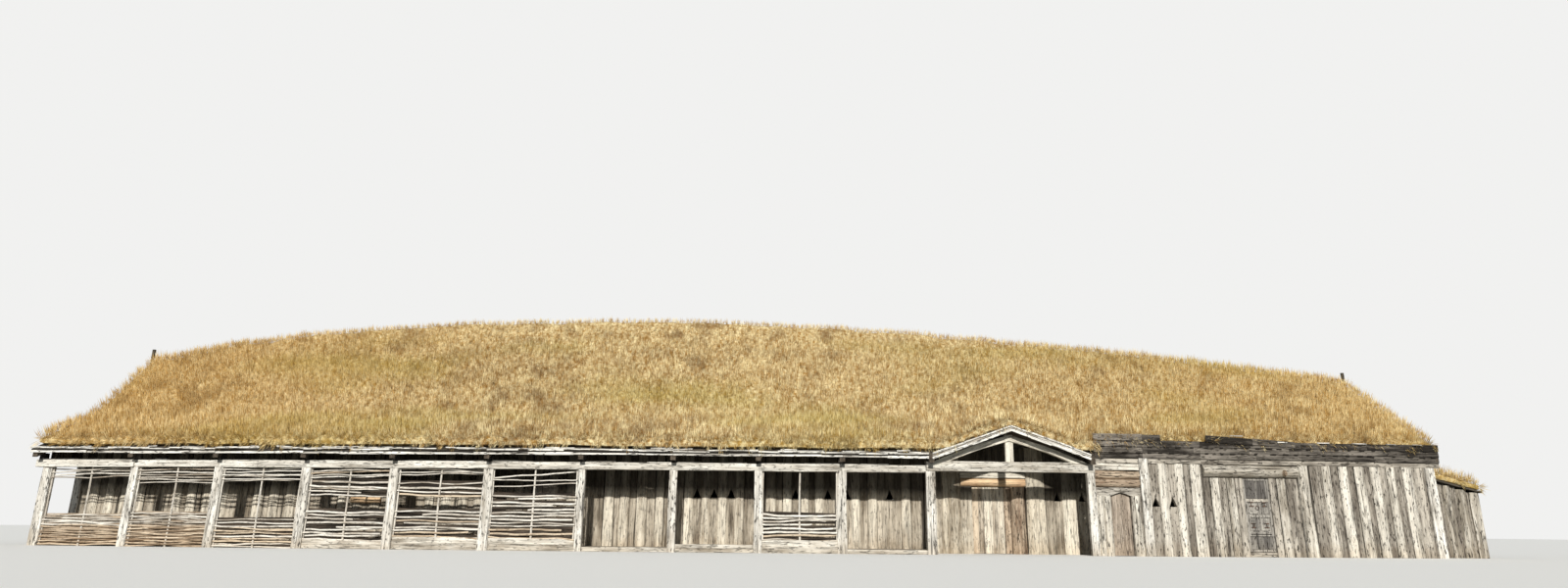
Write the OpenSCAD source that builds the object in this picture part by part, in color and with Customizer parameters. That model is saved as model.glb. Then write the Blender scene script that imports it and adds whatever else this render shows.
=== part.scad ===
// A long turf-roofed timber hall: an open gallery with woven rails along the left front,
// a gabled porch before the main door, and a closed wing of split-log staves on the right.
// X runs along the front, Y runs into the building and Z is up. All sizes are in millimetres.

/* [Plan] */
// How far the front line bows back at its two ends
front_bow = 1100; // [200:10:1800]
// Depth of the house at mid-length, from the front post line to the back wall's face
house_depth = 9100; // [8200:50:10500]
// Clear depth of the gallery, from the post line to the hall's wall
gallery_depth = 1200; // [1000:10:1500]
// Distance of the ridge from the front post line
ridge_y = 5000; // [4700:20:5400]

/* [Roof] */
// Height of the turf ridge at its highest point
ridge_high = 6380; // [5800:20:7000]
// How far the ridge drops at the left gable
ridge_drop_left = 1280; // [600:20:1500]
// How far the ridge drops at the right gable
ridge_drop_right = 1620; // [600:20:1800]
// How far the roof boards' underside at the gallery eave lies above the beam
eave_lift = 200; // [180:5:300]
// Overhang of the gallery eave before the posts
eave_out = 350; // [250:10:450]
// Pitch of the low part of the gallery roof
low_pitch = 22; // [16:1:26]
// Depth, from the post line, at which the gallery roof turns steep
kink_depth = 1550; // [1400:10:1800]
// Height of the roof boards' underside over the wing's front wall
wing_eave_height = 2420; // [2380:5:2600]
// Height of the roof boards' underside at the back eave
back_eave_height = 2200; // [2100:5:2400]
// Overhang of the back eave
back_out = 300; // [200:10:400]
// Pitch of the roof's foot over the back wall
back_pitch = 30; // [20:1:34]
// How far the roof runs past the end frames
verge_out = 300; // [280:5:420]
// Thickness of the turf, measured upright
turf_depth = 250; // [150:10:350]
// Thickness of the roof boards, measured upright
deck_depth = 40; // [30:5:60]
// Depth of a rafter, measured upright
rafter_depth = 160; // [120:5:200]
// Width of a rafter
rafter_w = 120; // [90:5:120]

/* [Front posts and beams] */
// Side of a square gallery post
post_w = 200; // [150:5:220]
// Height of the gallery posts
post_h = 1870; // [1750:10:1950]
// Height of the beam on the gallery posts
beam_h = 140; // [120:5:200]
// Width of the blocks that carry the rafters on the beam
block_w = 160; // [120:5:180]
// Height of the porch's tie beam
tie_beam_h = 230; // [200:5:260]
// Width of the tie beam
tie_beam_w = 180; // [150:5:200]
// Width of the plank post right of the small door
plank_post_w = 230; // [200:5:240]
// Radius of the thick round post in the wing, at its foot
log_post_r = 150; // [120:5:160]
// Radius of the thick round post at its top
log_post_top_r = 125; // [100:5:140]

/* [Porch] */
// How far the porch's peak rises above the gallery eave
porch_gable_h = 650; // [560:5:680]
// Depth of the porch truss's rafters, measured upright
truss_depth = 110; // [90:5:130]
// Thickness of the porch truss
truss_t = 110; // [80:5:140]
// Width of the king post
king_w = 190; // [150:5:220]

/* [Edge boards] */
// Thickness of an edge board
edge_t = 30; // [20:1:40]
// How far the edge boards reach below the roof boards' underside
edge_drop = 65; // [40:5:90]
// How far the edge boards stand above the roof boards' underside
edge_rise = 80; // [60:5:110]
// Height of one lapped board over the wing
lap_h = 150; // [120:5:180]
// Number of lapped boards over the wing
lap_count = 3; // [2:1:3]

/* [Stave walls] */
// Thickness of a stave wall behind its half-round staves
wall_t = 160; // [140:5:190]
// Width of a half-round stave
stave_w = 230; // [180:5:260]
// How far a half-round stave stands out
stave_bulge = 65; // [40:5:80]
// Distance from one half-round stave to the next
stave_pitch = 420; // [380:5:520]
// Width of the broad staves beside the main door
broad_stave_w = 480; // [400:5:560]
// Height of the plate on a stave wall
plate_h = 150; // [120:5:180]
// Width of a triangular peep-hole
peep_w = 190; // [120:5:190]
// Height of a triangular peep-hole
peep_h = 230; // [150:5:260]
// Height of the gallery's peep-holes above the ground
peep_z = 1250; // [1000:10:1500]
// Height of the wing's peep-holes above the ground
wing_peep_z = 1120; // [1000:10:1500]

/* [Doors] */
// Width of the main door's leaf
main_door_w = 950; // [850:10:1000]
// Height of the main door's leaf
main_door_h = 1565; // [1500:5:1800]
// Width of the small door's leaf
small_door_w = 480; // [420:10:520]
// Height of the small door's leaf
small_door_h = 1400; // [1300:5:1440]
// Width of the panelled door's leaf
panel_door_w = 650; // [600:10:700]
// Height of the panelled door's leaf
panel_door_h = 1670; // [1500:5:1700]
// Thickness of a door leaf
leaf_t = 50; // [40:1:60]
// Clearance round a door leaf
leaf_gap = 8; // [6:1:15]
// Height of the main door's log lintel
lintel_h = 210; // [180:5:240]

/* [Hinges] */
// Radius of a hinge pin
pin_r = 9; // [7:0.5:12]
// Radial clearance of a hinge pin in its eye
pin_gap = 0.3; // [0.1:0.1:0.5]
// Wall of a hinge eye
eye_wall = 7; // [5:0.5:9]
// Height of a hinge eye and its strap
strap_h = 44; // [36:1:60]
// Thickness of a hinge strap
strap_t = 6; // [4:1:8]

/* [Woven rails] */
// Thickness of a woven rod
rod_t = 28; // [20:1:32]
// Upright distance from one woven rod to the next
rod_pitch = 48; // [40:1:60]
// Thickness of a stake
stake_t = 50; // [40:1:60]

/* [Inner frame] */
// Side of a hall post
hall_post_w = 200; // [160:5:240]
// Distance of the hall posts from the ridge line
hall_post_out = 1300; // [1000:20:1500]
// Height of the tie beams' underside in the hall
hall_tie_z = 2600; // [2400:20:2800]
// Height of a tie beam in the hall
hall_tie_h = 180; // [150:5:220]

/* [Annex] */
// Length of the lean-to beyond the right gable
annex_len = 1300; // [1100:20:1800]
// Depth of the lean-to
annex_depth = 2500; // [1800:50:3000]
// How far the lean-to stands back from the corner post
annex_back = 500; // [300:10:900]
// Height of the lean-to's walls against the gable
annex_high = 1900; // [1700:10:2000]
// Height of the lean-to's walls at its outer side
annex_low = 1560; // [1400:10:1700]
// Thickness of the lean-to's turf, measured upright
annex_turf = 150; // [100:5:180]

/* [Hidden] */
$fn = 48;

// Widths of the bays from left to right: ten of the gallery, the porch, and four of the wing
bay_widths = [2300, 2170, 2190, 2170, 2270, 2230, 2170, 2000, 1970, 2100, 3840, 1300, 1430, 2560, 3290];
last_post = len(bay_widths);
last_bay = last_post - 1;
gallery_bays = 10;
porch_bay = gallery_bays;
small_door_bay = porch_bay + 1;
plain_bay = porch_bay + 2;
panel_bay = porch_bay + 3;
gap = 2;
seat = 0.3;

// Half of the short straight stretch of every plan line at a post, as wide as a rafter
knee = 60;
function reach(n) = n == 0 ? 0 : bay_widths[n - 1] + reach(n - 1);
half_len = reach(last_post) / 2;
function post_x(i) = reach(i) - half_len;
function front_y(i) = front_bow * pow(post_x(i) / half_len, 2);

// The front line's y at x in one bay: straight between the posts' short level stretches
function line_y(bay, x) = let (
    x0 = post_x(bay) + knee,
    x1 = post_x(bay + 1) - knee,
    t = min(1, max(0, (x - x0) / (x1 - x0)))
) front_y(bay) + t * (front_y(bay + 1) - front_y(bay));

// A line parallel to the front, from start past one post to stop past another
function plan_line(first, last, offset, start, stop) = [
    [post_x(first) + start, line_y(first, post_x(first) + start) + offset],
    if (start < knee) [post_x(first) + knee, front_y(first) + offset],
    for (i = [first + 1 : 1 : last - 1]) each [
        [post_x(i) - knee, front_y(i) + offset],
        [post_x(i) + knee, front_y(i) + offset]
    ],
    if (stop > -knee) [post_x(last) - knee, front_y(last) + offset],
    [post_x(last) + stop, line_y(last - 1, post_x(last) + stop) + offset]
];
function turned(points) = [for (i = [len(points) - 1 : -1 : 0]) points[i]];
function strip(first, last, near, far, start, stop) = concat(
    plan_line(first, last, near, start, stop),
    turned(plan_line(first, last, far, start, stop))
);

// A bay's chord: its angle in plan, and a frame whose x runs along it from the left post
function bay_turn(i) = atan2(front_y(i + 1) - front_y(i), post_x(i + 1) - post_x(i) - 2 * knee);
module bay_frame(i, offset = 0) {
    translate([post_x(i) + knee, front_y(i) + offset, 0])
        rotate([0, 0, bay_turn(i)])
            children();
}

// The gallery's eave stands on its posts and beam, and the porch's peak on the eave
beam_top = post_h + beam_h;
tie_beam_top = post_h + tie_beam_h;
eave_height = beam_top + eave_lift;
porch_peak_height = eave_height + porch_gable_h;

// The roof's height rules
low_rise = tan(low_pitch);
back_rise = tan(back_pitch);
kink_height = eave_height + (kink_depth + eave_out) * low_rise;
ridge_top_x = -1000;
left_curve = 3;
right_curve = 1.5;
left_span = half_len + verge_out + ridge_top_x;
right_span = half_len + verge_out - ridge_top_x;
function ridge_height(x) = x < ridge_top_x
    ? ridge_high - ridge_drop_left * pow((ridge_top_x - x) / left_span, left_curve)
    : ridge_high - ridge_drop_right * pow((x - ridge_top_x) / right_span, right_curve);
function ridge_under(x) = ridge_height(x) - turf_depth - deck_depth;

// Underside of the roof boards in section, from the front edge to the ridge
GALLERY = 0;
PORCH = 1;
WING = 2;
foot_run = 60;
wing_edge = 70;
wing_row = 500;
function between(a, b, t) = a + (b - a) * t;
// The wing's slope fills out from the gallery's kinked form at its start to a straight one
function wing_under(y, front, ridge, fill) = between(
    between(wing_eave_height, kink_height, (y - front + wing_edge) / (kink_depth + wing_edge)),
    between(wing_eave_height, ridge, (y - front + wing_edge) / (ridge_y - front + wing_edge)),
    fill
);
function wing_fill(x) = let (
    start = post_x(small_door_bay),
    stop = post_x(last_bay)
) min(1, max(0, (x - start) / (stop - start)));
function front_profile(kind, front, ridge, fill) =
    kind == GALLERY ? [
        [front - eave_out, eave_height],
        [front - eave_out + foot_run, eave_height + foot_run * low_rise],
        [front + kink_depth, kink_height],
        [ridge_y, ridge]
    ]
    : kind == PORCH ? [
        [front - eave_out, porch_peak_height],
        [front - eave_out + (porch_peak_height - eave_height) / low_rise, porch_peak_height],
        [front + kink_depth, kink_height],
        [ridge_y, ridge]
    ]
    : [
        [front - wing_edge, wing_eave_height],
        [front + wing_row, wing_under(front + wing_row, front, ridge, fill)],
        [front + kink_depth, wing_under(front + kink_depth, front, ridge, fill)],
        [ridge_y, ridge]
    ];

// The same from the ridge to the back edge; the house narrows to both sides of its middle line
back_kink_in = 200;
function back_profile(front, ridge) = [
    [ridge_y, ridge],
    [house_depth - front - back_kink_in, back_eave_height + (back_kink_in + back_out) * back_rise],
    [house_depth - front + back_out, back_eave_height]
];

// The roof's cross-sections along the house: x, front line, kind
gable_in = 130;
wing_step = 40;
porch_peak_x = (post_x(porch_bay) + post_x(porch_bay + 1)) / 2;
wing_start_x = post_x(small_door_bay) + knee + wing_step;
stations = [
    [post_x(0) - verge_out, front_y(0), GALLERY],
    [post_x(0) + gable_in, front_y(0), GALLERY],
    for (i = [1 : porch_bay]) each [
        [post_x(i) - knee, front_y(i), GALLERY],
        [post_x(i) + knee, front_y(i), GALLERY]
    ],
    [porch_peak_x, line_y(porch_bay, porch_peak_x), PORCH],
    [post_x(small_door_bay) - knee, front_y(small_door_bay), GALLERY],
    [post_x(small_door_bay) + knee, front_y(small_door_bay), GALLERY],
    [wing_start_x, line_y(small_door_bay, wing_start_x), WING],
    for (i = [plain_bay : last_bay]) each [
        [post_x(i) - knee, front_y(i), WING],
        [post_x(i) + knee, front_y(i), WING]
    ],
    [post_x(last_post) - gable_in, front_y(last_post), WING],
    [post_x(last_post) + verge_out, front_y(last_post), WING]
];

function section(s, front) = let (x = station_x(s), ridge = ridge_under(x)) front
    ? front_profile(stations[s][2], stations[s][1], ridge, wing_fill(x))
    : back_profile(stations[s][1], ridge);
// Both cross-sections of a pair are worked out at the pair's middle
function paired(s, t) = t >= 0 && t < len(stations)
    && stations[s][1] == stations[t][1] && stations[s][2] == stations[t][2];
function station_x(s) = paired(s, s + 1) ? (stations[s][0] + stations[s + 1][0]) / 2
    : paired(s, s - 1) ? (stations[s][0] + stations[s - 1][0]) / 2
    : stations[s][0];

// A roof layer lies between two upright offsets from the boards' underside
module roof_layer(front, low, high) {
    rows = [for (s = [0 : len(stations) - 1]) section(s, front)];
    n = len(rows[0]);
    count = len(stations);
    points = [
        for (s = [0 : count - 1]) each [
            for (level = [low, high]) each [
                for (r = [0 : n - 1]) [stations[s][0], rows[s][r][0], rows[s][r][1] + level]
            ]
        ]
    ];
    function at(s, r, top) = s * 2 * n + top * n + r;
    function quad(a, b, c, d) = [[a, b, c], [a, c, d]];
    last = count - 1;
    faces = [
        for (s = [0 : count - 2]) each [
            for (r = [0 : n - 2]) each [
                each quad(at(s, r, 1), at(s, r + 1, 1), at(s + 1, r + 1, 1), at(s + 1, r, 1)),
                each quad(at(s, r, 0), at(s + 1, r, 0), at(s + 1, r + 1, 0), at(s, r + 1, 0))
            ],
            each quad(at(s, 0, 0), at(s, 0, 1), at(s + 1, 0, 1), at(s + 1, 0, 0)),
            each quad(at(s + 1, n - 1, 0), at(s + 1, n - 1, 1), at(s, n - 1, 1), at(s, n - 1, 0))
        ],
        for (r = [0 : n - 2]) each [
            each quad(at(0, r, 0), at(0, r + 1, 0), at(0, r + 1, 1), at(0, r, 1)),
            each quad(at(last, r, 1), at(last, r + 1, 1), at(last, r + 1, 0), at(last, r, 0))
        ]
    ];
    polyhedron(points, faces);
}

// Heights that follow from the roof
block_top = eave_height + (eave_out - block_w / 2) * low_rise - rafter_depth;
plate_in = 10;
hall_plate_top = eave_height + (eave_out + gallery_depth + plate_in) * low_rise - rafter_depth;
hall_wall_h = hall_plate_top - plate_h;
wing_plate_top = wing_eave_height - rafter_depth;
wing_wall_h = wing_plate_top - plate_h;
back_plate_top = back_eave_height + back_out * back_rise - rafter_depth;
back_wall_h = back_plate_top - plate_h;

// The gable walls stand a little inside the end posts' line, and the end frames outside them
gable_shift = 10;
end_shift = wall_t / 2 + stave_bulge + rafter_w / 2 - gable_shift;
function frame_x(i) = i == 0 ? post_x(0) - end_shift : i == last_post ? post_x(i) + end_shift : post_x(i);
function frame_kind(i) = i > small_door_bay ? WING : GALLERY;
function frame_section(i, front) = let (
    x = i == 0 ? post_x(0) - (verge_out - gable_in) / 2
        : i == last_post ? post_x(i) + (verge_out - gable_in) / 2
        : post_x(i)
) front
    ? front_profile(frame_kind(i), front_y(i), ridge_under(x), wing_fill(x))
    : back_profile(front_y(i), ridge_under(x));

// Extrudes a section drawn in y and z along x
module along_x(x, length) {
    translate([x, 0, 0])
        rotate([90, 0, 90])
            linear_extrude(length)
                children();
}

// Extrudes an outline drawn in x and z along y, away from the front
module along_y(y, length) {
    translate([0, y + length, 0])
        rotate([90, 0, 0])
            linear_extrude(length)
                children();
}

module level_strip(first, last, near, far, start, stop, z, height) {
    translate([0, 0, z])
        linear_extrude(height)
            polygon(strip(first, last, near, far, start, stop));
}

module mirror_to_back() {
    translate([0, house_depth, 0])
        mirror([0, 1, 0])
            children();
}

// The outer face of a split log: a circle's segment that stands out by its bulge
module log_face(width, bulge) {
    radius = (pow(width / 2, 2) + pow(bulge, 2)) / (2 * bulge);
    backing = wall_t / 2;
    intersection() {
        translate([0, radius - bulge])
            circle(radius);
        translate([-width / 2, -bulge - gap])
            square([width, bulge + backing]);
    }
}

// Half-round staves at an even pitch, with a recessed plank centred on the anchor
module stave_faces(bay, offset, from, to, anchor) {
    first = ceil((from + stave_w / 2 - anchor - stave_pitch / 2) / stave_pitch);
    last = floor((to - stave_w / 2 - anchor - stave_pitch / 2) / stave_pitch);
    for (k = [first : 1 : last]) {
        x = anchor + (k + 0.5) * stave_pitch;
        translate([x, line_y(bay, x) + offset])
            log_face(stave_w, stave_bulge);
    }
}

module stave_wall(bay, offset, height, start, stop, anchor) {
    linear_extrude(height) {
        polygon(strip(bay, bay + 1, offset, offset + wall_t, start, stop));
        stave_faces(bay, offset, post_x(bay) + start, post_x(bay + 1) + stop, anchor);
    }
}

module peep_hole(bay, offset, x, z) {
    depth = wall_t + 4 * stave_bulge;
    translate([x, line_y(bay, x) + offset - 2 * stave_bulge, z])
        rotate([90, 0, 0])
            translate([0, 0, -depth])
                linear_extrude(depth)
                    polygon([[-peep_w / 2, 0], [peep_w / 2, 0], [0, peep_h]]);
}

// Distances of the peep-holes from the post on their left, one list for each bay
peep_in = [
    [], [], [], [], [], [], [],
    [470, 890, 1310], [900, 1690], [190, 1250], [3325, 3945], [], [245, 665], [], []
];
function peep_places(bay) = [for (d = peep_in[bay]) post_x(bay) + d];
function middle_x(bay) = (post_x(bay) + post_x(bay + 1)) / 2;
function stave_anchor(bay) = len(peep_in[bay]) > 0 ? peep_places(bay)[0] : middle_x(bay);

module gallery_wall(bay, start, stop) {
    difference() {
        stave_wall(bay, gallery_depth, hall_wall_h, start, stop, stave_anchor(bay));
        for (x = peep_places(bay))
            peep_hole(bay, gallery_depth, x, peep_z);
    }
}

// Posts

module square_post(i, width, height) {
    translate([post_x(i) - width / 2, front_y(i) - width / 2, 0])
        cube([width, width, height]);
}

module gallery_posts() {
    color("lightgray")
        for (i = [0 : porch_bay - 1])
            square_post(i, post_w, post_h);
}

module porch_posts() {
    color("lightgray")
        for (i = [porch_bay, small_door_bay])
            square_post(i, post_w, post_h);
}

// Beams, with the blocks that lift the rafters off them

module rafter_block(x, front, base) {
    translate([x - block_w / 2, front - block_w / 2, base])
        cube([block_w, block_w, block_top - base]);
}

module gallery_beam() {
    color("gainsboro") {
        level_strip(
            0, porch_bay, -post_w / 2, post_w / 2 - knee / 2,
            -verge_out + gap, -post_w / 2 - 2 * gap - tie_beam_w / 2 * sin(porch_turn), post_h, beam_h
        );
        for (i = [0 : porch_bay - 1])
            rafter_block(frame_x(i), front_y(i), beam_top);
    }
}

porch_turn = bay_turn(porch_bay);
porch_span = (post_x(small_door_bay) - post_x(porch_bay) - 2 * knee) / cos(porch_turn);
porch_rise = (porch_peak_height - eave_height) / (porch_span / 2);

module porch_tie_beam() {
    over = knee + post_w / 2;
    color("gainsboro") {
        bay_frame(porch_bay)
            translate([-over, -tie_beam_w / 2, post_h])
                cube([porch_span + 2 * over, tie_beam_w, tie_beam_h]);
        for (i = [porch_bay, small_door_bay])
            rafter_block(post_x(i), front_y(i), tie_beam_top);
    }
}

// Underside of the porch roof boards above a point along the porch, and the truss's top below it
truss_clear = 1.3;
function porch_under(u) = eave_height + porch_rise * min(u, porch_span - u);
function truss_top(u) = porch_under(u) - truss_clear;

module porch_truss() {
    foot = 40;
    heel = 170;
    middle = porch_span / 2;
    color("beige")
        bay_frame(porch_bay)
            along_y(-truss_t / 2, truss_t)
                polygon([
                    [foot, tie_beam_top],
                    [foot, truss_top(foot)],
                    [middle, truss_top(middle)],
                    [porch_span - foot, truss_top(foot)],
                    [porch_span - foot, tie_beam_top],
                    [porch_span - heel, tie_beam_top],
                    [porch_span - heel, truss_top(heel) - truss_depth],
                    [middle, truss_top(middle) - truss_depth],
                    [heel, truss_top(heel) - truss_depth],
                    [heel, tie_beam_top]
                ]);
}

module porch_king_post() {
    middle = porch_span / 2;
    left = middle - king_w / 2;
    color("lightgray")
        bay_frame(porch_bay)
            along_y(-truss_t / 2, truss_t)
                polygon([
                    [left, tie_beam_top],
                    [left + king_w, tie_beam_top],
                    [left + king_w, truss_top(left + king_w) - truss_depth],
                    [middle, truss_top(middle) - truss_depth],
                    [left, truss_top(left) - truss_depth]
                ]);
}

// One board along both slopes of the porch gable
module verge_board(low, high, thick) {
    over = knee;
    near = eave_out * cos(porch_turn);
    middle = porch_span / 2;
    along_y(-near - thick, thick)
        polygon([
            [-over, porch_under(-over / 2) + low],
            [middle, porch_under(middle) + low],
            [porch_span + over, porch_under(-over / 2) + low],
            [porch_span + over, porch_under(-over / 2) + high],
            [middle, porch_under(middle) + high],
            [-over, porch_under(-over / 2) + high]
        ]);
}

// Their right end is hewn to lie along the roof's straight edge at the post
module porch_verge_boards() {
    color("whitesmoke")
        difference() {
            bay_frame(porch_bay) {
                verge_board(-edge_drop, edge_rise, edge_t);
                verge_board(0, edge_rise, 2 * edge_t);
            }
            translate([post_x(small_door_bay) - knee, front_y(small_door_bay) - eave_out, 0])
                cube([3 * knee, eave_out, ridge_high]);
        }
}

module eave_boards() {
    color("whitesmoke") {
        level_strip(
            0, porch_bay, -eave_out - edge_t, -eave_out,
            -verge_out, -knee - 2 * gap, eave_height - edge_drop, edge_drop + edge_rise
        );
        level_strip(
            0, porch_bay, -eave_out - 2 * edge_t, -eave_out,
            -verge_out, -knee - 2 * gap, eave_height, edge_rise
        );
    }
}

// Sills between the posts, one of each height that the bays have
sill_heights = [0, 0, 0, 190, 280, 270, 100, 180, 280, 100];
sill_t = 60;

module gallery_sills() {
    color("tan")
        for (i = [0 : gallery_bays - 1])
            if (sill_heights[i] > 0)
                level_strip(i, i + 1, -sill_t / 2, sill_t / 2, post_w / 2, -post_w / 2, 0, sill_heights[i]);
}

floor_h = 100;
floor_t = 40;
sleeper_w = 140;

module gallery_floor() {
    near = post_w / 2;
    far = gallery_depth - stave_bulge - gap;
    color("silver") {
        level_strip(0, porch_bay, near + 3 * gap, far, -knee, knee, floor_h - floor_t, floor_t);
        for (i = [0 : porch_bay])
            translate([post_x(i) - sleeper_w / 2 + knee / 2 * (i == 0 ? 1 : 0), front_y(i) + near, 0])
                cube([sleeper_w - knee, far - near, floor_h - floor_t / 2]);
    }
}

// Woven rails: rods that pass before and behind three stakes, one bay at a time.
// Each band is [lowest rod, highest rod, how much the right end stands above the left].
// A height below zero is measured down from the beam.
wattle_bands = [
    [[40, 700, 0], [-270, -110, 30]],
    [[40, 770, 0], [-370, -70, 10]],
    [[40, 630, 0], [-330, -70, 25]],
    [[200, 810, 0], [-640, -350, -30], [-270, -90, 40]],
    [[295, 830, 0], [-630, -390, -25], [-170, -70, 10]],
    [[285, 1220, 0], [-450, -440, 110], [-290, -280, 15], [-250, -245, 190]],
    [],
    [],
    [[295, 810, 0]],
    []
];
function rod_z(height) = height < 0 ? post_h + height : height;
// The rods bite into the stakes a little; the end stakes stand against the posts
rod_bite = 3;
stake_side = stake_t / 2 + rod_bite;

function weave(t, side, turns) = side * (stake_t + rod_t) / 2 * cos(180 * turns * t);

module rod(length, side) {
    steps = 8;
    turns = 2;
    spine = [for (k = [0 : steps]) [length * k / steps, weave(k / steps, side, turns)]];
    linear_extrude(rod_t)
        polygon(concat(
            [for (p = spine) [p[0], p[1] - rod_t / 2]],
            turned([for (p = spine) [p[0], p[1] + rod_t / 2]])
        ));
}

module rising(slope) {
    multmatrix([[1, 0, 0, 0], [0, 1, 0, 0], [slope, 0, 1, 0], [0, 0, 0, 1]])
        children();
}

module wattle(bay) {
    turn = bay_turn(bay);
    trim = (stake_side + rod_t) * abs(sin(turn)) + seat;
    length = (post_x(bay + 1) - post_x(bay) - post_w) / cos(turn) - 2 * trim;
    color("gainsboro")
        bay_frame(bay)
            translate([(post_w / 2 - knee) / cos(turn) + trim, 0, 0]) {
                for (band = wattle_bands[bay])
                    for (k = [0 : 1 : floor((band[1] - band[0]) / rod_pitch)])
                        translate([0, 0, rod_z(band[0]) + k * rod_pitch])
                            rising(band[2] / length)
                                rod(length, k % 2 == 0 ? 1 : -1);
                for (x = [stake_side, length / 2, length - stake_side])
                    translate([x, 0, sill_heights[bay]])
                        rotate([0, 0, 22.5])
                            cylinder(h = post_h - sill_heights[bay], r = stake_side / cos(22.5), $fn = 8);
            }
}

// Hall walls: the bays behind the woven rails, the plain ones, the one with three peep-holes
// and those with a pair, which are made of two panels with a joint between their staves
first_plain_bay = 5;
three_peep_bay = 7;
first_pair_bay = 8;

module hall_wall_west() {
    color("linen")
        for (i = [0 : first_plain_bay - 1])
            gallery_wall(i, i == 0 ? corner_in + gap : gap, -gap);
}

module hall_wall_middle() {
    color("linen")
        for (i = [first_plain_bay : three_peep_bay - 1])
            gallery_wall(i, gap, -gap);
}

module hall_wall_peeps() {
    color("linen")
        gallery_wall(three_peep_bay, gap, -gap);
}

module hall_wall_pairs() {
    color("linen")
        for (i = [first_pair_bay : gallery_bays - 1]) {
            joint_in = peep_in[i][0] + stave_pitch;
            gallery_wall(i, gap, joint_in - seat / 2 - bay_widths[i]);
            gallery_wall(i, joint_in + seat / 2, -gap);
        }
}

// Main door: places along the porch bay
main_door_in = 1193;
main_door_x = post_x(porch_bay) + main_door_in;
jamb_w = 280;
log_jamb_r = 190;
lintel_clear = 15;
lintel_crown = 25;
lintel_left_x = main_door_x - leaf_gap - jamb_w;
lintel_right_x = main_door_x + main_door_w + leaf_gap + 2 * log_jamb_r + gap;
return_in = 305;
return_x = post_x(small_door_bay) + return_in;
end_stave_w = 390;
end_stave_in = 510;
main_lintel_z = main_door_h + lintel_clear;
main_leaf_in = 60;
leaf_foot = 10;

module wall_part(bay, offset, from, to, z, height) {
    translate([0, 0, z])
        linear_extrude(height)
            polygon(strip(bay, bay + 1, offset, offset + wall_t, from - post_x(bay), to - post_x(bay + 1)));
}

module broad_stave(bay, offset, x, height) {
    translate([x, line_y(bay, x) + offset, 0])
        linear_extrude(height)
            log_face(broad_stave_w, stave_bulge);
}

module porch_wall_left() {
    color("linen") {
        wall_part(porch_bay, gallery_depth, post_x(porch_bay) + gap, lintel_left_x - gap, 0, hall_wall_h);
        broad_stave(porch_bay, gallery_depth, lintel_left_x - gap - broad_stave_w / 2, hall_wall_h);
        translate([post_x(porch_bay) + stave_w, line_y(porch_bay, post_x(porch_bay)) + gallery_depth, 0])
            linear_extrude(hall_wall_h)
                log_face(stave_w, stave_bulge);
    }
}

module porch_wall_right() {
    broad_x = lintel_right_x + gap + broad_stave_w / 2;
    last_x = return_x - wall_t / 2 - gap;
    end_x = return_x - end_stave_in;
    color("linen")
        difference() {
            union() {
                wall_part(porch_bay, gallery_depth, lintel_right_x + gap, last_x, 0, hall_wall_h);
                broad_stave(porch_bay, gallery_depth, broad_x, hall_wall_h);
                translate([end_x, line_y(porch_bay, end_x) + gallery_depth, 0])
                    linear_extrude(hall_wall_h)
                        log_face(end_stave_w, stave_bulge);
            }
            for (x = peep_places(porch_bay))
                peep_hole(porch_bay, gallery_depth, x, peep_z);
        }
}

module main_door_jambs() {
    color("rosybrown") {
        difference() {
            wall_part(porch_bay, gallery_depth, lintel_left_x, main_door_x + leaf_t, 0, main_lintel_z);
            doorway(porch_bay, main_door_x, gallery_depth, main_door_w, 2 * main_lintel_z);
        }
        door_frame(porch_bay, main_door_x, gallery_depth)
            translate([main_door_w + leaf_gap + log_jamb_r, wall_t / 2, 0])
                cylinder(h = main_lintel_z, r = log_jamb_r);
    }
}

// A log on its side along a bay, hewn flat above and below
module lying_log(bay, from, to, offset, z, height, radius) {
    turn = bay_turn(bay);
    trim = radius * abs(sin(turn));
    start = (from - post_x(bay) - knee) / cos(turn) + trim;
    length = (to - from) / cos(turn) - 2 * trim;
    bay_frame(bay, offset)
        translate([start, 0, z])
            intersection() {
                translate([0, 0, height / 2])
                    rotate([0, 90, 0])
                        cylinder(h = length, r = radius);
                translate([0, -radius - gap, 0])
                    cube([length, 2 * radius + 2 * gap, height]);
            }
}

module main_door_lintel() {
    color("peru")
        lying_log(
            porch_bay, lintel_left_x, lintel_right_x, gallery_depth + wall_t / 2, main_lintel_z,
            lintel_h, lintel_h / 2 + lintel_crown
        );
}

overboard_h = 120;
overboard_t = 30;

module main_door_overwall() {
    base = main_lintel_z + lintel_h + seat;
    color("burlywood") {
        wall_part(
            porch_bay, gallery_depth, lintel_left_x, lintel_right_x, base, hall_wall_h - seat - base
        );
        translate([0, 0, base])
            linear_extrude(overboard_h)
                polygon(strip(
                    porch_bay, porch_bay + 1, gallery_depth - overboard_t, gallery_depth,
                    lintel_left_x - post_x(porch_bay), lintel_right_x - post_x(porch_bay + 1)
                ));
    }
}

// Plates on the hall's front and back walls, and the wall that returns to the wing's front
corner_in = post_w / 2 + gable_shift;

module wall_plates() {
    color("silver") {
        level_strip(
            0, small_door_bay, gallery_depth + plate_in, gallery_depth + wall_t - plate_in,
            -verge_out + gap, return_x + wall_t / 2 - post_x(small_door_bay), hall_wall_h, plate_h
        );
        mirror_to_back()
            level_strip(
                0, last_post, 0, wall_t - plate_in, -verge_out + gap, verge_out - gap, back_wall_h, plate_h
            );
    }
}

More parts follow.
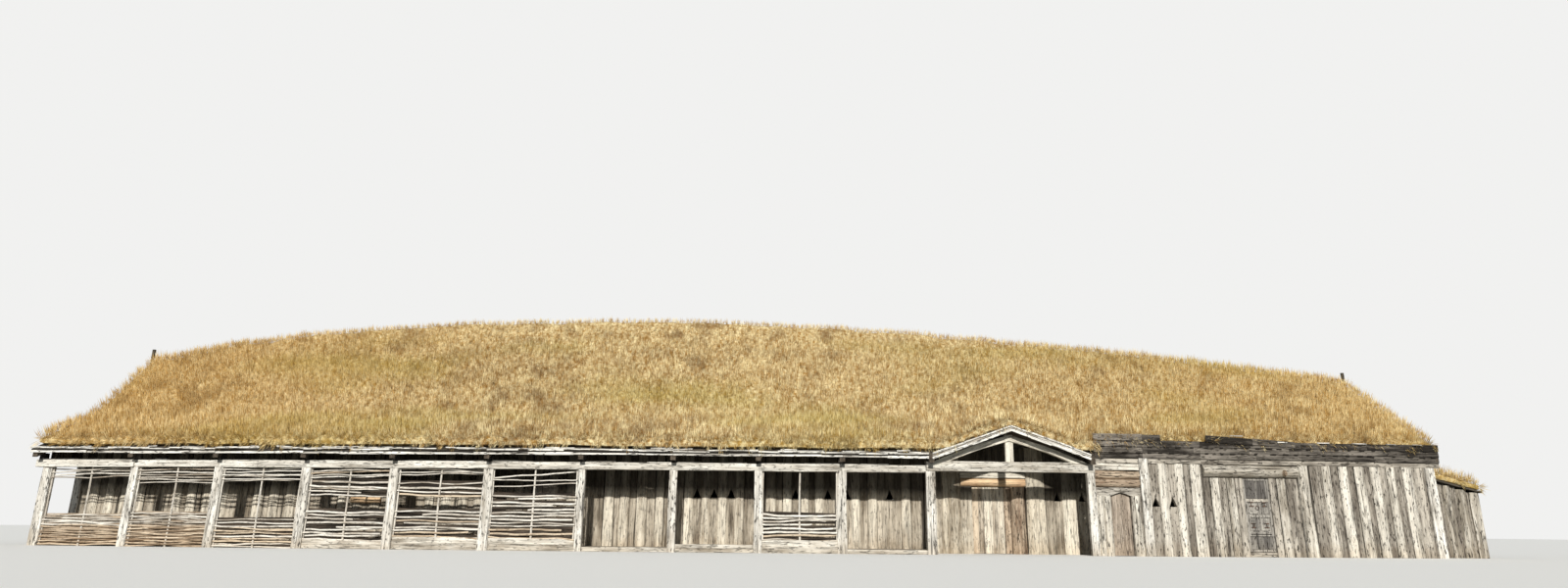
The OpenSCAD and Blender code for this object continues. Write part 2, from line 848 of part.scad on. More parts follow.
// Its top follows the roof down to the wing's front
module return_wall() {
    near = line_y(small_door_bay, return_x + wall_t / 2) + wing_face + wall_t / 2 + small_log_r + 2 * seat;
    far = front_y(small_door_bay) + gallery_depth + wall_t;
    color("linen")
        along_x(return_x - wall_t / 2, wall_t)
            polygon([
                [near, 0], [far, 0], [far, hall_wall_h], [far - wall_t, hall_wall_h], [near, wing_plate_top]
            ]);
}

// Wing walls: the planks' face lies just behind the front post line
wing_face = -40;
arch_drop = 45;
arch_clear = 15;
jamb_top = small_door_h - arch_drop;
carved_h = 190;
small_log_h = 200;
small_log_crown = 12;
small_log_r = small_log_h / 2 + small_log_crown;
small_door_in = 460;
small_door_x = post_x(small_door_bay) + small_door_in;
panel_door_in = 1010;
panel_door_x = post_x(panel_bay) + panel_door_in;
panel_sill_h = 110;
panel_leaf_z = panel_sill_h + leaf_foot;
lintel_log_z = panel_leaf_z + panel_door_h + leaf_foot;
small_leaf_in = 80;
panel_leaf_in = 20;

// A door's frame: x runs along its bay from the leaf's left edge at x, and y in from the wall's face
module door_frame(bay, x, face) {
    bay_frame(bay, face)
        translate([(x - post_x(bay) - knee) / cos(bay_turn(bay)), 0, 0])
            children();
}

module doorway(bay, x, face, width, height) {
    deep = 3 * wall_t;
    door_frame(bay, x, face)
        translate([-leaf_gap, -deep / 2, -1])
            cube([width + 2 * leaf_gap, 2 * deep, height]);
}

module small_door_walls() {
    color("linen")
        difference() {
            stave_wall(
                small_door_bay, wing_face, jamb_top, post_w / 2 + gap, -plank_post_w / 2 - gap,
                small_door_x + small_door_w / 2
            );
            doorway(small_door_bay, small_door_x, wing_face, small_door_w, 2 * jamb_top);
        }
}

module small_door_lintel() {
    turn = bay_turn(small_door_bay);
    from = post_x(small_door_bay) + post_w / 2 + gap;
    to = post_x(plain_bay) - plank_post_w / 2 - gap;
    start = (from - small_door_x) / cos(turn) + wall_t * sin(turn);
    end = (to - small_door_x) / cos(turn);
    front_t = small_leaf_in - arch_clear;
    middle = small_door_w / 2;
    rise = 85;
    head = small_door_h + leaf_foot - jamb_top;
    color("silver")
        door_frame(small_door_bay, small_door_x, wing_face)
            translate([0, 0, jamb_top]) {
                along_y(0, front_t)
                    polygon([
                        [start, 0], [-leaf_gap, 0], [middle * 0.45, rise * 0.55], [middle, rise],
                        [middle * 1.55, rise * 0.55], [small_door_w + leaf_gap, 0], [end, 0],
                        [end, carved_h], [start, carved_h]
                    ]);
                translate([start, front_t - 1, head])
                    cube([end - start, wall_t - front_t, carved_h - head]);
            }
}

module small_door_logs() {
    from = post_x(small_door_bay) + post_w / 2 + 3 * gap;
    to = post_x(plain_bay) - plank_post_w / 2 - gap;
    base = jamb_top + carved_h;
    centre = wing_face + wall_t / 2;
    rail_z = base + 2 * small_log_h;
    color("tan") {
        for (k = [0, 1])
            lying_log(small_door_bay, from, to, centre, base + k * small_log_h, small_log_h, small_log_r);
        wall_part(small_door_bay, wing_face - edge_t / 2, from, to, rail_z, wing_plate_top - rail_z);
    }
}

// The wing's posts stand a little before the line, and so does the log over the panelled door
post_forward = 15;
log_forward = 20;

module wing_posts() {
    plank_t = 200;
    left = post_x(plain_bay) - plank_post_w / 2;
    color("lightgray") {
        difference() {
            translate([left, front_y(plain_bay) - plank_t / 2 - post_forward, 0])
                cube([plank_post_w, plank_t, wing_plate_top]);
            translate([left - 1, front_y(plain_bay) - wing_edge - plank_t, lap_base])
                cube([plank_post_w + 2, plank_t + 4 * gap, plate_h]);
        }
        translate([post_x(last_bay), front_y(last_bay) - log_forward, 0])
            cylinder(h = wing_wall_h, r1 = log_post_r, r2 = log_post_top_r);
        translate([post_x(last_post) - plank_post_w / 2, front_y(last_post) - plank_t / 2 - post_forward, 0])
            cube([plank_post_w, plank_t, wing_wall_h]);
    }
}

module wing_wall_left() {
    color("linen")
        difference() {
            stave_wall(
                plain_bay, wing_face, wing_wall_h, plank_post_w / 2 + gap, -knee / 4,
                stave_anchor(plain_bay)
            );
            for (x = peep_places(plain_bay))
                peep_hole(plain_bay, wing_face, x, wing_peep_z);
        }
}

module wing_wall_panel() {
    color("gainsboro")
        difference() {
            stave_wall(
                panel_bay, wing_face, lintel_log_z, knee / 4, -log_post_r - gap,
                panel_door_x + panel_door_w / 2
            );
            doorway(panel_bay, panel_door_x, wing_face, panel_door_w, 2 * lintel_log_z);
        }
}

module wing_wall_right() {
    color("linen")
        stave_wall(
            last_bay, wing_face, wing_wall_h, log_post_r + gap, -plank_post_w / 2 - gap, middle_x(last_bay)
        );
}

module wing_lintel_log() {
    height = wing_wall_h - lintel_log_z - 2 * seat;
    color("lightgray")
        lying_log(
            panel_bay, post_x(panel_bay) + knee / 2, post_x(last_bay) - log_post_r - gap,
            wing_face + wall_t / 2 - log_forward, lintel_log_z + seat, height, height / 2 + log_forward
        );
}

module wing_plate() {
    color("rosybrown")
        level_strip(
            plain_bay, last_post, -wing_edge, wing_face + wall_t - plate_in,
            plank_post_w / 2 + gap, verge_out - gap, wing_wall_h, plate_h
        );
}

// Dark boards over the wing, each lapping the one below it
lap_cover = 30;
lap_base = wing_plate_top - lap_cover;

module wing_lapped_boards() {
    lap = 15;
    step = 22;
    start = wing_start_x - post_x(small_door_bay);
    color("dimgray")
        for (k = [0 : lap_count - 1])
            level_strip(
                small_door_bay, last_post, -wing_edge - edge_t - k * step, -wing_edge,
                start, verge_out, lap_base + k * (lap_h - lap), lap_h
            );
}

module panel_door_sill() {
    color("linen")
        door_frame(panel_bay, panel_door_x, wing_face)
            translate([-leaf_gap + seat, 0, 0])
                cube([panel_door_w + 2 * leaf_gap - 2 * seat, wall_t, panel_sill_h]);
}

// Door leaves: boards side by side on two inner ledges, with iron strap hinges on the ledges' side.
// Each is drawn with its hinge edge at x = 0 and its face at y = 0.
ledge_t = 25;
ledge_h = 110;
eye_r = pin_r + pin_gap + eye_wall;
eye_x = eye_r;
eye_y = leaf_t + eye_r;
strap_low = 0.18;
strap_high = 0.82;
board_gap = 4;

function strap_zs(height) = [height * strap_low, height * strap_high];

module board_leaf(width, height, boards) {
    board_w = (width + board_gap) / boards;
    for (k = [0 : boards - 1])
        translate([k * board_w, 0, 0])
            cube([board_w - board_gap, leaf_t - ledge_t, height]);
    for (z = strap_zs(height))
        translate([0, leaf_t - ledge_t - 1, z - ledge_h / 2])
            cube([width, ledge_t + 1, ledge_h]);
}

module strap(length) {
    difference() {
        union() {
            translate([eye_x, leaf_t, 0])
                cube([length, strap_t, strap_h]);
            translate([eye_x, eye_y, 0])
                cylinder(h = strap_h, r = eye_r);
        }
        translate([eye_x, eye_y, -1])
            cylinder(h = strap_h + 2, r = pin_r + pin_gap);
    }
}

module straps(width, height) {
    for (z = strap_zs(height))
        translate([0, 0, z - strap_h / 2])
            strap(width * 0.7);
}

// A pintle is an arm driven into the jamb, with the pin standing on it
module pintle() {
    arm_h = 16;
    translate([0, 0, -strap_h / 2 - seat]) {
        translate([eye_x, eye_y, -arm_h])
            cylinder(h = arm_h + strap_h + seat - 2, r = pin_r);
        translate([-leaf_gap, eye_y - pin_r, -arm_h])
            cube([leaf_gap + eye_x, 2 * pin_r, arm_h]);
    }
}

module pintles(height) {
    for (z = strap_zs(height))
        translate([0, 0, z])
            pintle();
}

module main_door_place() {
    door_frame(porch_bay, main_door_x, gallery_depth)
        translate([0, main_leaf_in, leaf_foot])
            children();
}

module small_door_place() {
    door_frame(small_door_bay, small_door_x, wing_face)
        translate([0, small_leaf_in, leaf_foot])
            children();
}

// The panelled door hangs on its right edge
module panel_door_place() {
    door_frame(panel_bay, panel_door_x, wing_face)
        translate([panel_door_w, panel_leaf_in, panel_leaf_z])
            mirror([1, 0, 0])
                children();
}

module main_door() {
    color("bisque")
        main_door_place()
            board_leaf(main_door_w, main_door_h - leaf_foot, 4);
}

module main_door_straps() {
    color("dimgray")
        main_door_place()
            straps(main_door_w, main_door_h - leaf_foot);
}

module small_door() {
    color("rosybrown")
        small_door_place()
            board_leaf(small_door_w, small_door_h - leaf_foot, 2);
}

module small_door_straps() {
    color("dimgray")
        small_door_place()
            straps(small_door_w, small_door_h - leaf_foot);
}

// A framed leaf with sunk panels between its rails
panel_rails = [0, 0.17, 0.2, 0.49, 0.52, 0.71, 0.75, 0.96];
module panel_door() {
    stile = 40;
    sunk = 12;
    color("gray")
        panel_door_place()
            difference() {
                cube([panel_door_w, leaf_t, panel_door_h]);
                for (k = [0 : 2 : len(panel_rails) - 2])
                    translate([stile, -1, panel_door_h * (panel_rails[k] + 0.02)])
                        cube([
                            panel_door_w - 2 * stile, sunk + 1,
                            panel_door_h * (panel_rails[k + 1] - panel_rails[k])
                        ]);
            }
}

module panel_door_straps() {
    color("dimgray")
        panel_door_place()
            straps(panel_door_w, panel_door_h);
}

module door_pintles() {
    color("dimgray") {
        main_door_place()
            pintles(main_door_h - leaf_foot);
        small_door_place()
            pintles(small_door_h - leaf_foot);
        panel_door_place()
            pintles(panel_door_h);
    }
}

// Corners, back wall and gables

module corner_posts() {
    corner_t = wall_t + knee;
    color("lightgray") {
        translate([post_x(0) - post_w / 2 + gable_shift, front_y(0) + gallery_depth - knee, 0])
            cube([post_w, corner_t, hall_wall_h]);
        mirror_to_back()
            for (i = [0, last_post])
                translate([post_x(i) - post_w / 2 + (i == 0 ? 1 : -1) * gable_shift, front_y(i) - knee, 0])
                    cube([post_w, corner_t, back_wall_h]);
    }
}

module back_wall() {
    color("silver")
        mirror_to_back()
            for (i = [0 : last_bay])
                stave_wall(
                    i, 0, back_wall_h,
                    i == 0 ? corner_in + gap : gap,
                    i == last_bay ? -corner_in - gap : -gap,
                    middle_x(i)
                );
}

// A gable wall: upright staves, cut to the roof boards' underside
module gable_wall(i, near, side) {
    far = house_depth - front_y(i) - wall_t - gap;
    length = far - near;
    count = floor(length / stave_pitch);
    tall = ridge_high;
    under = concat(frame_section(i, true), frame_section(i, false));
    intersection() {
        linear_extrude(tall)
            translate([post_x(i) - side * gable_shift, near])
                rotate([0, 0, side > 0 ? 90 : -90])
                    mirror([side > 0 ? 0 : 1, 0, 0]) {
                        translate([0, -wall_t / 2])
                            square([length, wall_t]);
                        for (k = [0 : count - 1])
                            translate([(k + 0.5) * length / count, -wall_t / 2])
                                log_face(stave_w, stave_bulge);
                    }
        along_x(post_x(i) - wall_t * 2, wall_t * 4)
            polygon(concat(under, [
                [house_depth - front_y(i) + back_out, 0],
                [front_y(i) - eave_out, 0]
            ]));
    }
}

module left_gable_wall() {
    color("silver")
        gable_wall(0, front_y(0) + gallery_depth + wall_t + gap, -1);
}

module right_gable_wall() {
    color("silver")
        gable_wall(last_post, front_y(last_post) + wing_face + wall_t + gap, 1);
}

// Inner frame

module rafter_pair(i) {
    front = frame_section(i, true);
    back = frame_section(i, false);
    top = concat(front, [for (k = [1 : len(back) - 1]) back[k]]);
    along_x(frame_x(i) - rafter_w / 2, rafter_w)
        polygon(concat(top, turned([for (p = top) [p[0], p[1] - rafter_depth]])));
}

module rafters() {
    color("saddlebrown")
        for (i = [0 : last_post])
            rafter_pair(i);
}

// Height of a frame's rafter underside at y, on either slope
function section_height(points, y, k = 0) = y <= points[k + 1][0]
    ? between(points[k][1], points[k + 1][1], (y - points[k][0]) / (points[k + 1][0] - points[k][0]))
    : section_height(points, y, k + 1);

// Two posts and a tie beam under each pair of rafters
module hall_frames() {
    near = ridge_y - hall_post_out - hall_post_w / 2;
    far = ridge_y + hall_post_out + hall_post_w / 2;
    span = far - near - 2 * hall_post_w;
    color("sienna")
        for (i = [1 : last_bay]) {
            front_top = section_height(frame_section(i, true), near) - rafter_depth;
            back_top = section_height(frame_section(i, false), far) - rafter_depth;
            translate([post_x(i) - hall_post_w / 2, near, 0])
                cube([hall_post_w, hall_post_w, front_top]);
            translate([post_x(i) - hall_post_w / 2, far - hall_post_w, 0])
                cube([hall_post_w, hall_post_w, back_top]);
            translate([post_x(i) - rafter_w / 2, ridge_y - span / 2 + seat, hall_tie_z])
                cube([rafter_w, span - 2 * seat, hall_tie_h]);
        }
}

// Roof layers

module roof_boards_front() {
    color("dimgray")
        roof_layer(true, 0, deck_depth);
}

module roof_boards_back() {
    color("dimgray")
        roof_layer(false, 0, deck_depth);
}

module turf_front() {
    color("darkkhaki")
        roof_layer(true, deck_depth, deck_depth + turf_depth);
}

module turf_back() {
    color("darkkhaki")
        roof_layer(false, deck_depth, deck_depth + turf_depth);
}

stake_w = 70;

module ridge_stakes() {
    rise = 220;
    seat_h = turf_depth + deck_depth;
    y = ridge_y - stake_w / 2;
    color("dimgray") {
        translate([post_x(0) - verge_out - stake_w, y, frame_section(0, true)[3][1]])
            cube([stake_w, stake_w, seat_h + rise]);
        translate([post_x(last_post) + verge_out, y, frame_section(last_post, true)[3][1]])
            cube([stake_w, stake_w, seat_h + rise]);
    }
}

// The lean-to against the right gable
annex_x = post_x(last_post) - gable_shift + wall_t / 2 + stave_bulge;
annex_y = front_y(last_post) + annex_back;
annex_end = annex_x + annex_len;
annex_over = 60;
annex_t = 120;
function annex_top(x) = between(annex_high, annex_low, (x - annex_x) / annex_len);

module annex_slope(low, high, from, to) {
    polygon([
        [from, annex_top(from) + low],
        [to, annex_top(to) + low],
        [to, annex_top(to) + high],
        [from, annex_top(from) + high]
    ]);
}

module annex_walls() {
    count = 3;
    color("silver")
        intersection() {
            linear_extrude(annex_high) {
                difference() {
                    translate([annex_x, annex_y])
                        square([annex_len, annex_depth]);
                    translate([annex_x - 1, annex_y + annex_t])
                        square([annex_len - annex_t + 1, annex_depth - 2 * annex_t]);
                }
                for (k = [0 : count - 1])
                    translate([annex_x + (k + 0.5) * (annex_len - plank_post_w) / count, annex_y])
                        log_face(stave_w, stave_bulge);
                translate([annex_end - plank_post_w, annex_y - stave_bulge])
                    square([plank_post_w, stave_bulge + 1]);
            }
            along_y(annex_y - 2 * stave_bulge, annex_depth + 4 * stave_bulge)
                polygon([
                    [annex_x, 0], [annex_end, 0],
                    [annex_end, annex_top(annex_end)], [annex_x, annex_top(annex_x)]
                ]);
        }
}

module annex_roof_boards() {
    color("dimgray")
        along_y(annex_y - annex_over - stave_bulge, annex_depth + 2 * annex_over + stave_bulge)
            annex_slope(0, deck_depth, annex_x, annex_end + annex_over);
}

module annex_turf_roof() {
    color("darkkhaki")
        along_y(annex_y - annex_over - stave_bulge, annex_depth + 2 * annex_over + stave_bulge)
            annex_slope(deck_depth, deck_depth + annex_turf, annex_x, annex_end + annex_over);
}

// The origin lies on the ground under the middle of the whole house
low_x = post_x(0) - verge_out - stake_w;
high_x = annex_end + annex_over;
low_y = min([for (i = [0 : porch_bay]) front_y(i)]) - eave_out - 2 * edge_t;
high_y = house_depth - min([for (i = [0 : last_post]) front_y(i)]) + back_out;
module placed() {
    translate([-(low_x + high_x) / 2, -(low_y + high_y) / 2, 0])
        children();
}

placed() gallery_posts();
placed() gallery_beam();
placed() eave_boards();
placed() gallery_sills();
placed() gallery_floor();
placed() wattle(0);  // wattle_bay_1
placed() wattle(1);  // wattle_bay_2
placed() wattle(2);  // wattle_bay_3
placed() wattle(3);  // wattle_bay_4
placed() wattle(4);  // wattle_bay_5
placed() wattle(5);  // wattle_bay_6
placed() wattle(8);  // wattle_bay_9
placed() porch_posts();
placed() porch_tie_beam();
placed() porch_king_post();
placed() porch_truss();
placed() porch_verge_boards();
placed() hall_wall_west();
placed() hall_wall_middle();
placed() hall_wall_peeps();
placed() hall_wall_pairs();
placed() porch_wall_left();
placed() porch_wall_right();
placed() main_door_jambs();
placed() main_door_lintel();
placed() main_door_overwall();
placed() main_door();
placed() main_door_straps();
placed() wall_plates();
placed() return_wall();
placed() small_door_walls();
placed() small_door_lintel();
placed() small_door_logs();
placed() small_door();
placed() small_door_straps();
placed() wing_posts();
placed() wing_wall_left();
placed() wing_wall_panel();
placed() wing_wall_right();
placed() wing_lintel_log();
placed() wing_plate();
placed() wing_lapped_boards();
placed() panel_door_sill();
placed() panel_door();
placed() panel_door_straps();
placed() door_pintles();
placed() corner_posts();
placed() back_wall();
placed() left_gable_wall();
placed() right_gable_wall();
placed() rafters();
placed() hall_frames();
placed() roof_boards_front();
placed() roof_boards_back();
placed() turf_front();
placed() turf_back();
placed() ridge_stakes();
placed() annex_walls();
placed() annex_roof_boards();
placed() annex_turf_roof();
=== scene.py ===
# %% [markdown]
# A turf house: a long timber hall under a thick skin of sods. The packed CAD model brings the
# construction, and every step below gives one part of it the look of old, sun-bleached wood,
# woven rods or dry grass. The first cell loads that model as a fixed frame, and nothing in it
# is moved. It also keeps the model's box and prints it.
# %% Load the packed house
import math
import random

import bpy
import numpy as np
from mathutils import Matrix, Vector


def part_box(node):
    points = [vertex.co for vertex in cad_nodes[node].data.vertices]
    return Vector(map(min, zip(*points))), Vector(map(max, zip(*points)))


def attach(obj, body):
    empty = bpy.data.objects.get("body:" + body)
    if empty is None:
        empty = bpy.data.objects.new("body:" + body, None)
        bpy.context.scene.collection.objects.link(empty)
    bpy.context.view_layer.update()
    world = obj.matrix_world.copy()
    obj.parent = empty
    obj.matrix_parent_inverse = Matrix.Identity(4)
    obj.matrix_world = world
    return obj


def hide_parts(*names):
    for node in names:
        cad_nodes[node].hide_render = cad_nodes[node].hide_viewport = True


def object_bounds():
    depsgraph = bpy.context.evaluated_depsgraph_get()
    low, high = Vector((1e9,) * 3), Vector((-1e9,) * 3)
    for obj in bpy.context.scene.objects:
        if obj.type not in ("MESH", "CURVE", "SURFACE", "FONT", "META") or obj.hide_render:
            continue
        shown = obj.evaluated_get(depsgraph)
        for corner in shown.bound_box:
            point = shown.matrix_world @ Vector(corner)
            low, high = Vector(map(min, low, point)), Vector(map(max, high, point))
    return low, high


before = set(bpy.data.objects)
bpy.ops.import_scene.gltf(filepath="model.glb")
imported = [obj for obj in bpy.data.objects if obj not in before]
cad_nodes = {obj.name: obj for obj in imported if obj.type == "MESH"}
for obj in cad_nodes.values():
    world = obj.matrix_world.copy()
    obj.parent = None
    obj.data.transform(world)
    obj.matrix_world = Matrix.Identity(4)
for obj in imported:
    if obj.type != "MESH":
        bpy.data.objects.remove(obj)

cad_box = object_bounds()
rng = random.Random(11)
print("CAD box", [[round(c, 3) for c in corner] for corner in cad_box])

# %% [markdown]
# The house stands on a bowed front line. The widths of its bays are the driving sizes, and the
# rest of the plan follows from them: where each post stands, how far the line bows back there,
# and which way a bay's wall is turned. The posts in the frame say where the whole plan lies.
# %% The plan of the house
BAY_WIDTHS = [2.30, 2.17, 2.19, 2.17, 2.27, 2.23, 2.17, 2.00, 1.97, 2.10, 3.84, 1.30, 1.43, 2.56, 3.29]
FRONT_BOW = 1.10
POST_W = 0.20
KNEE = 0.06
GALLERY_BAYS = 10
PORCH, SMALL_DOOR, PLAIN, PANEL, LAST = 10, 11, 12, 13, 14
UP = Vector((0, 0, 1))
OUT = Vector((0, -1, 0))
half_len = sum(BAY_WIDTHS) / 2
plan_x = [sum(BAY_WIDTHS[:i]) - half_len for i in range(len(BAY_WIDTHS) + 1)]
plan_y = [FRONT_BOW * (x / half_len) ** 2 for x in plan_x]
posts_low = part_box("gallery_posts")[0]
shift_x = plan_x[0] - POST_W / 2 - posts_low.x
shift_y = min(plan_y[:GALLERY_BAYS]) - POST_W / 2 - posts_low.y
post_x = [x - shift_x for x in plan_x]
front_y = [y - shift_y for y in plan_y]


def line_y(bay, x):
    """How deep the front line lies at x. It is straight within a bay, between the posts' knees."""
    start, end = post_x[bay] + KNEE, post_x[bay + 1] - KNEE
    part = min(1, max(0, (x - start) / (end - start)))
    return front_y[bay] + part * (front_y[bay + 1] - front_y[bay])


def bay_turn(bay):
    return math.atan2(front_y[bay + 1] - front_y[bay], post_x[bay + 1] - post_x[bay] - 2 * KNEE)


def bay_vectors(bay):
    """The way along a bay's wall, and the way out of it."""
    turn = bay_turn(bay)
    return Vector((math.cos(turn), math.sin(turn), 0)), Vector((math.sin(turn), -math.cos(turn), 0))


def on_bay(bay, x, behind, z=0.0):
    return Vector((x, line_y(bay, x) + behind, z))


def middle_x(bay):
    return (post_x[bay] + post_x[bay + 1]) / 2


print("posts at", [round(x, 2) for x in post_x])

# %% [markdown]
# The camera stands low in front of the house and looks up a little, as in the photograph, with
# a wide lens. A lens that looks up makes upright posts lean together, so a part of the
# picture's height comes from the lens shift, and the rest from the pitch.
# %% Camera
CAMERA_PLACE = (0.516, -30.028, 0.526)
CAMERA_YAW, CAMERA_PITCH, CAMERA_ROLL = 0.07, 17.69, 0.54
camera_data = bpy.data.cameras.new("camera")
camera_data.lens = 24
camera_data.sensor_width = 36
camera_data.shift_y = -0.0625
camera_data.clip_end = 400
camera = bpy.data.objects.new("camera", camera_data)
bpy.context.scene.collection.objects.link(camera)
aim = (Matrix.Rotation(math.radians(CAMERA_YAW), 4, "Z")
       @ Matrix.Rotation(math.radians(90 + CAMERA_PITCH), 4, "X")
       @ Matrix.Rotation(math.radians(CAMERA_ROLL), 4, "Z"))
camera.matrix_world = Matrix.Translation(CAMERA_PLACE) @ aim
bpy.context.scene.camera = camera
print("camera at", CAMERA_PLACE)

# %% [markdown]
# A finish is a tree of shader nodes, and it is easier to read when each node is one word. A Dye
# holds one tree. Each of its words adds a node, feeds the node's sockets with a number or with
# another node's output, and gives back its own output. The shared groups and every material
# below are written in these words.
# %% Words for node trees
NUMBER, COLOUR, VECTOR = "NodeSocketFloat", "NodeSocketColor", "NodeSocketVector"


class Dye:
    def __init__(self, tree):
        self.tree = tree

    def node(self, kind, **settings):
        made = self.tree.nodes.new(kind)
        for name, value in settings.items():
            setattr(made, name, value)
        return made

    def feed(self, socket, value):
        if isinstance(value, bpy.types.NodeSocket):
            self.tree.links.new(value, socket)
        else:
            socket.default_value = value

    def calc(self, operation, a, b=0.0):
        made = self.node("ShaderNodeMath", operation=operation)
        self.feed(made.inputs[0], a)
        self.feed(made.inputs[1], b)
        return made.outputs[0]

    def plus(self, a, b):
        return self.calc("ADD", a, b)

    def minus(self, a, b):
        return self.calc("SUBTRACT", a, b)

    def times(self, a, b):
        return self.calc("MULTIPLY", a, b)

    def within(self, value):
        """Keeps a value between 0 and 1."""
        return self.calc("MINIMUM", self.calc("MAXIMUM", value, 0.0), 1.0)

    def stretch(self, place, scale):
        made = self.node("ShaderNodeVectorMath", operation="MULTIPLY")
        self.feed(made.inputs[0], place)
        made.inputs[1].default_value = scale
        return made.outputs[0]

    def noise(self, place, scale, detail=3.0, rough=0.55):
        made = self.node("ShaderNodeTexNoise")
        self.feed(made.inputs["Vector"], place)
        for name, number in (("Scale", scale), ("Detail", detail), ("Roughness", rough)):
            made.inputs[name].default_value = number
        return made.outputs["Fac"]

    def spread(self, value, low, high, to_low=0.0, to_high=1.0):
        """Maps low..high to to_low..to_high, and holds the ends."""
        made = self.node("ShaderNodeMapRange")
        self.feed(made.inputs["Value"], value)
        for name, number in (("From Min", low), ("From Max", high), ("To Min", to_low), ("To Max", to_high)):
            made.inputs[name].default_value = number
        return made.outputs["Result"]

    def mix(self, part, a, b, mode="MIX"):
        """Mixes two colours. A colour is an output, or its red, green and blue."""
        made = self.node("ShaderNodeMix", data_type="RGBA", blend_type=mode)
        self.feed(made.inputs["Factor"], part)
        for socket, colour in zip([s for s in made.inputs if s.type == "RGBA"], (a, b)):
            self.feed(socket, (*colour, 1) if isinstance(colour, tuple) else colour)
        return [s for s in made.outputs if s.type == "RGBA"][0]

    def attribute(self, name, output):
        return self.node("ShaderNodeAttribute", attribute_name=name).outputs[output]

    def object_place(self):
        return self.node("ShaderNodeTexCoord").outputs["Object"]

    def bump(self, shader, height, distance, strength=1.0):
        made = self.node("ShaderNodeBump")
        made.inputs["Strength"].default_value = strength
        made.inputs["Distance"].default_value = distance
        self.feed(made.inputs["Height"], height)
        self.feed(shader.inputs["Normal"], made.outputs[0])


def new_group(name, inputs, outputs):
    tree = bpy.data.node_groups.new(name, "ShaderNodeTree")
    for label, kind in inputs:
        tree.interface.new_socket(label, in_out="INPUT", socket_type=kind)
    for label, kind in outputs:
        tree.interface.new_socket(label, in_out="OUTPUT", socket_type=kind)
    return tree, tree.nodes.new("NodeGroupInput").outputs, tree.nodes.new("NodeGroupOutput").inputs


def new_material(name):
    """A new material, the dye for its tree, and the shader that the dye feeds."""
    made = bpy.data.materials.new(name)
    made.use_nodes = True
    return made, Dye(made.node_tree), made.node_tree.nodes["Principled BSDF"]


print("words", [word for word in vars(Dye) if not word.startswith("_")])

# %% [markdown]
# Weathered wood shows five things: pale and dark streaks along the grain, fine fibres with hair
# lines between them, long cracks that come and go, short checks, and black ragged pits where
# the soft wood has rotted out. One node group makes them all from noise that is stretched along
# the grain, which always runs along the X of the place it is given. This cell makes the masks.
# A crack is where a noise crosses its middle value, and finer noise frays its edges.
# %% Node group for weathered wood: streaks, cracks and pits
wood_group, wood_in, wood_out = new_group(
    "weathered wood",
    [("Place", VECTOR), ("Above Ground", NUMBER), ("Tone", NUMBER), ("Pale", COLOUR), ("Dark", COLOUR),
     ("Cracks", NUMBER), ("Pits", NUMBER), ("Splash", NUMBER), ("Painted Eave Shade", NUMBER)],
    [("Color", COLOUR), ("Roughness", NUMBER), ("Height", NUMBER)],
)
dye = Dye(wood_group)


def along_grain(scale, detail, rough):
    return dye.noise(dye.stretch(wood_in["Place"], scale), 1.0, detail, rough)


streaks = along_grain((0.9, 9, 9), 5.0, 0.62)
fibres = along_grain((3.5, 70, 70), 3.0, 0.6)
stains = dye.noise(wood_in["Place"], 1.7, 3.0, 0.6)
hairs = along_grain((9, 240, 240), 3.0, 0.65)
ragged = dye.minus(along_grain((38, 120, 120), 4.0, 0.7), 0.5)


def crack_set(scale, wide, mask_scale, mask_low):
    """Thin lines along the grain that come and go, with ragged edges."""
    line = dye.calc("ABSOLUTE", dye.minus(along_grain(scale, 2.0, 0.5), 0.5))
    line = dye.plus(line, dye.times(ragged, wide * 1.2))
    mask = along_grain(mask_scale, 2.0, 0.5)
    return dye.times(dye.spread(line, wide * 0.2, wide, 1, 0), dye.spread(mask, mask_low, mask_low + 0.10))


cracks = crack_set((0.40, 14, 14), 0.017, (0.9, 6, 6), 0.40)
checks = dye.times(crack_set((0.9, 46, 46), 0.030, (1.4, 9, 9), 0.48), 0.65)
cracks = dye.times(dye.calc("MAXIMUM", cracks, checks), wood_in["Cracks"])
pit_field = dye.plus(along_grain((8, 28, 28), 2.0, 0.5), dye.times(ragged, 0.38))
pits = dye.times(dye.spread(pit_field, 0.595, 0.655), wood_in["Pits"])
print("masks made of", len(wood_group.nodes), "nodes")

# %% [markdown]
# The second half of the group puts the colours together. Each kind of timber gives it a pale
# and a dark colour, and a tone that says how bleached this one timber is. Rain splashes soil on
# the lowest hand's breadths. High on the walls, where the eave's shadow falls, the colour is
# darkened nearly to black as painted shade. Both follow from the height above the ground.
# Cracks and pits are nearly black, and lie deep.
# %% Node group for weathered wood: colour and relief
# the second tint is painted shade: it darkens the walls high up, where the eave's shadow falls
SOIL_TINT, EAVE_SHADE_TINT = (0.88, 0.75, 0.60), (0.09, 0.085, 0.08)
ROTTEN = (0.022, 0.017, 0.013)
SPLASH_FROM, SPLASH_TO = 0.03, 0.38
EAVE_SHADE_FROM, EAVE_SHADE_TO = 1.33, 1.50
light = dye.plus(dye.spread(streaks, 0.32, 0.68), dye.minus(wood_in["Tone"], 0.5))
light = dye.plus(light, dye.spread(stains, 0.3, 0.7, -0.22, 0.22))
wood_colour = dye.mix(dye.within(light), wood_in["Dark"], wood_in["Pale"])
fibre_shade = dye.times(dye.spread(fibres, 0.25, 0.75, 0.84, 1.13), dye.spread(hairs, 0.30, 0.70, 0.88, 1.12))
fibre_grey = dye.node("ShaderNodeCombineColor")
for channel in fibre_grey.inputs:
    dye.feed(channel, fibre_shade)
wood_colour = dye.mix(1.0, wood_colour, fibre_grey.outputs[0], "MULTIPLY")
splash_edge = dye.plus(wood_in["Above Ground"], dye.spread(stains, 0.3, 0.7, -0.18, 0.18))
splashed = dye.times(dye.spread(splash_edge, SPLASH_FROM, SPLASH_TO, 1, 0), wood_in["Splash"])
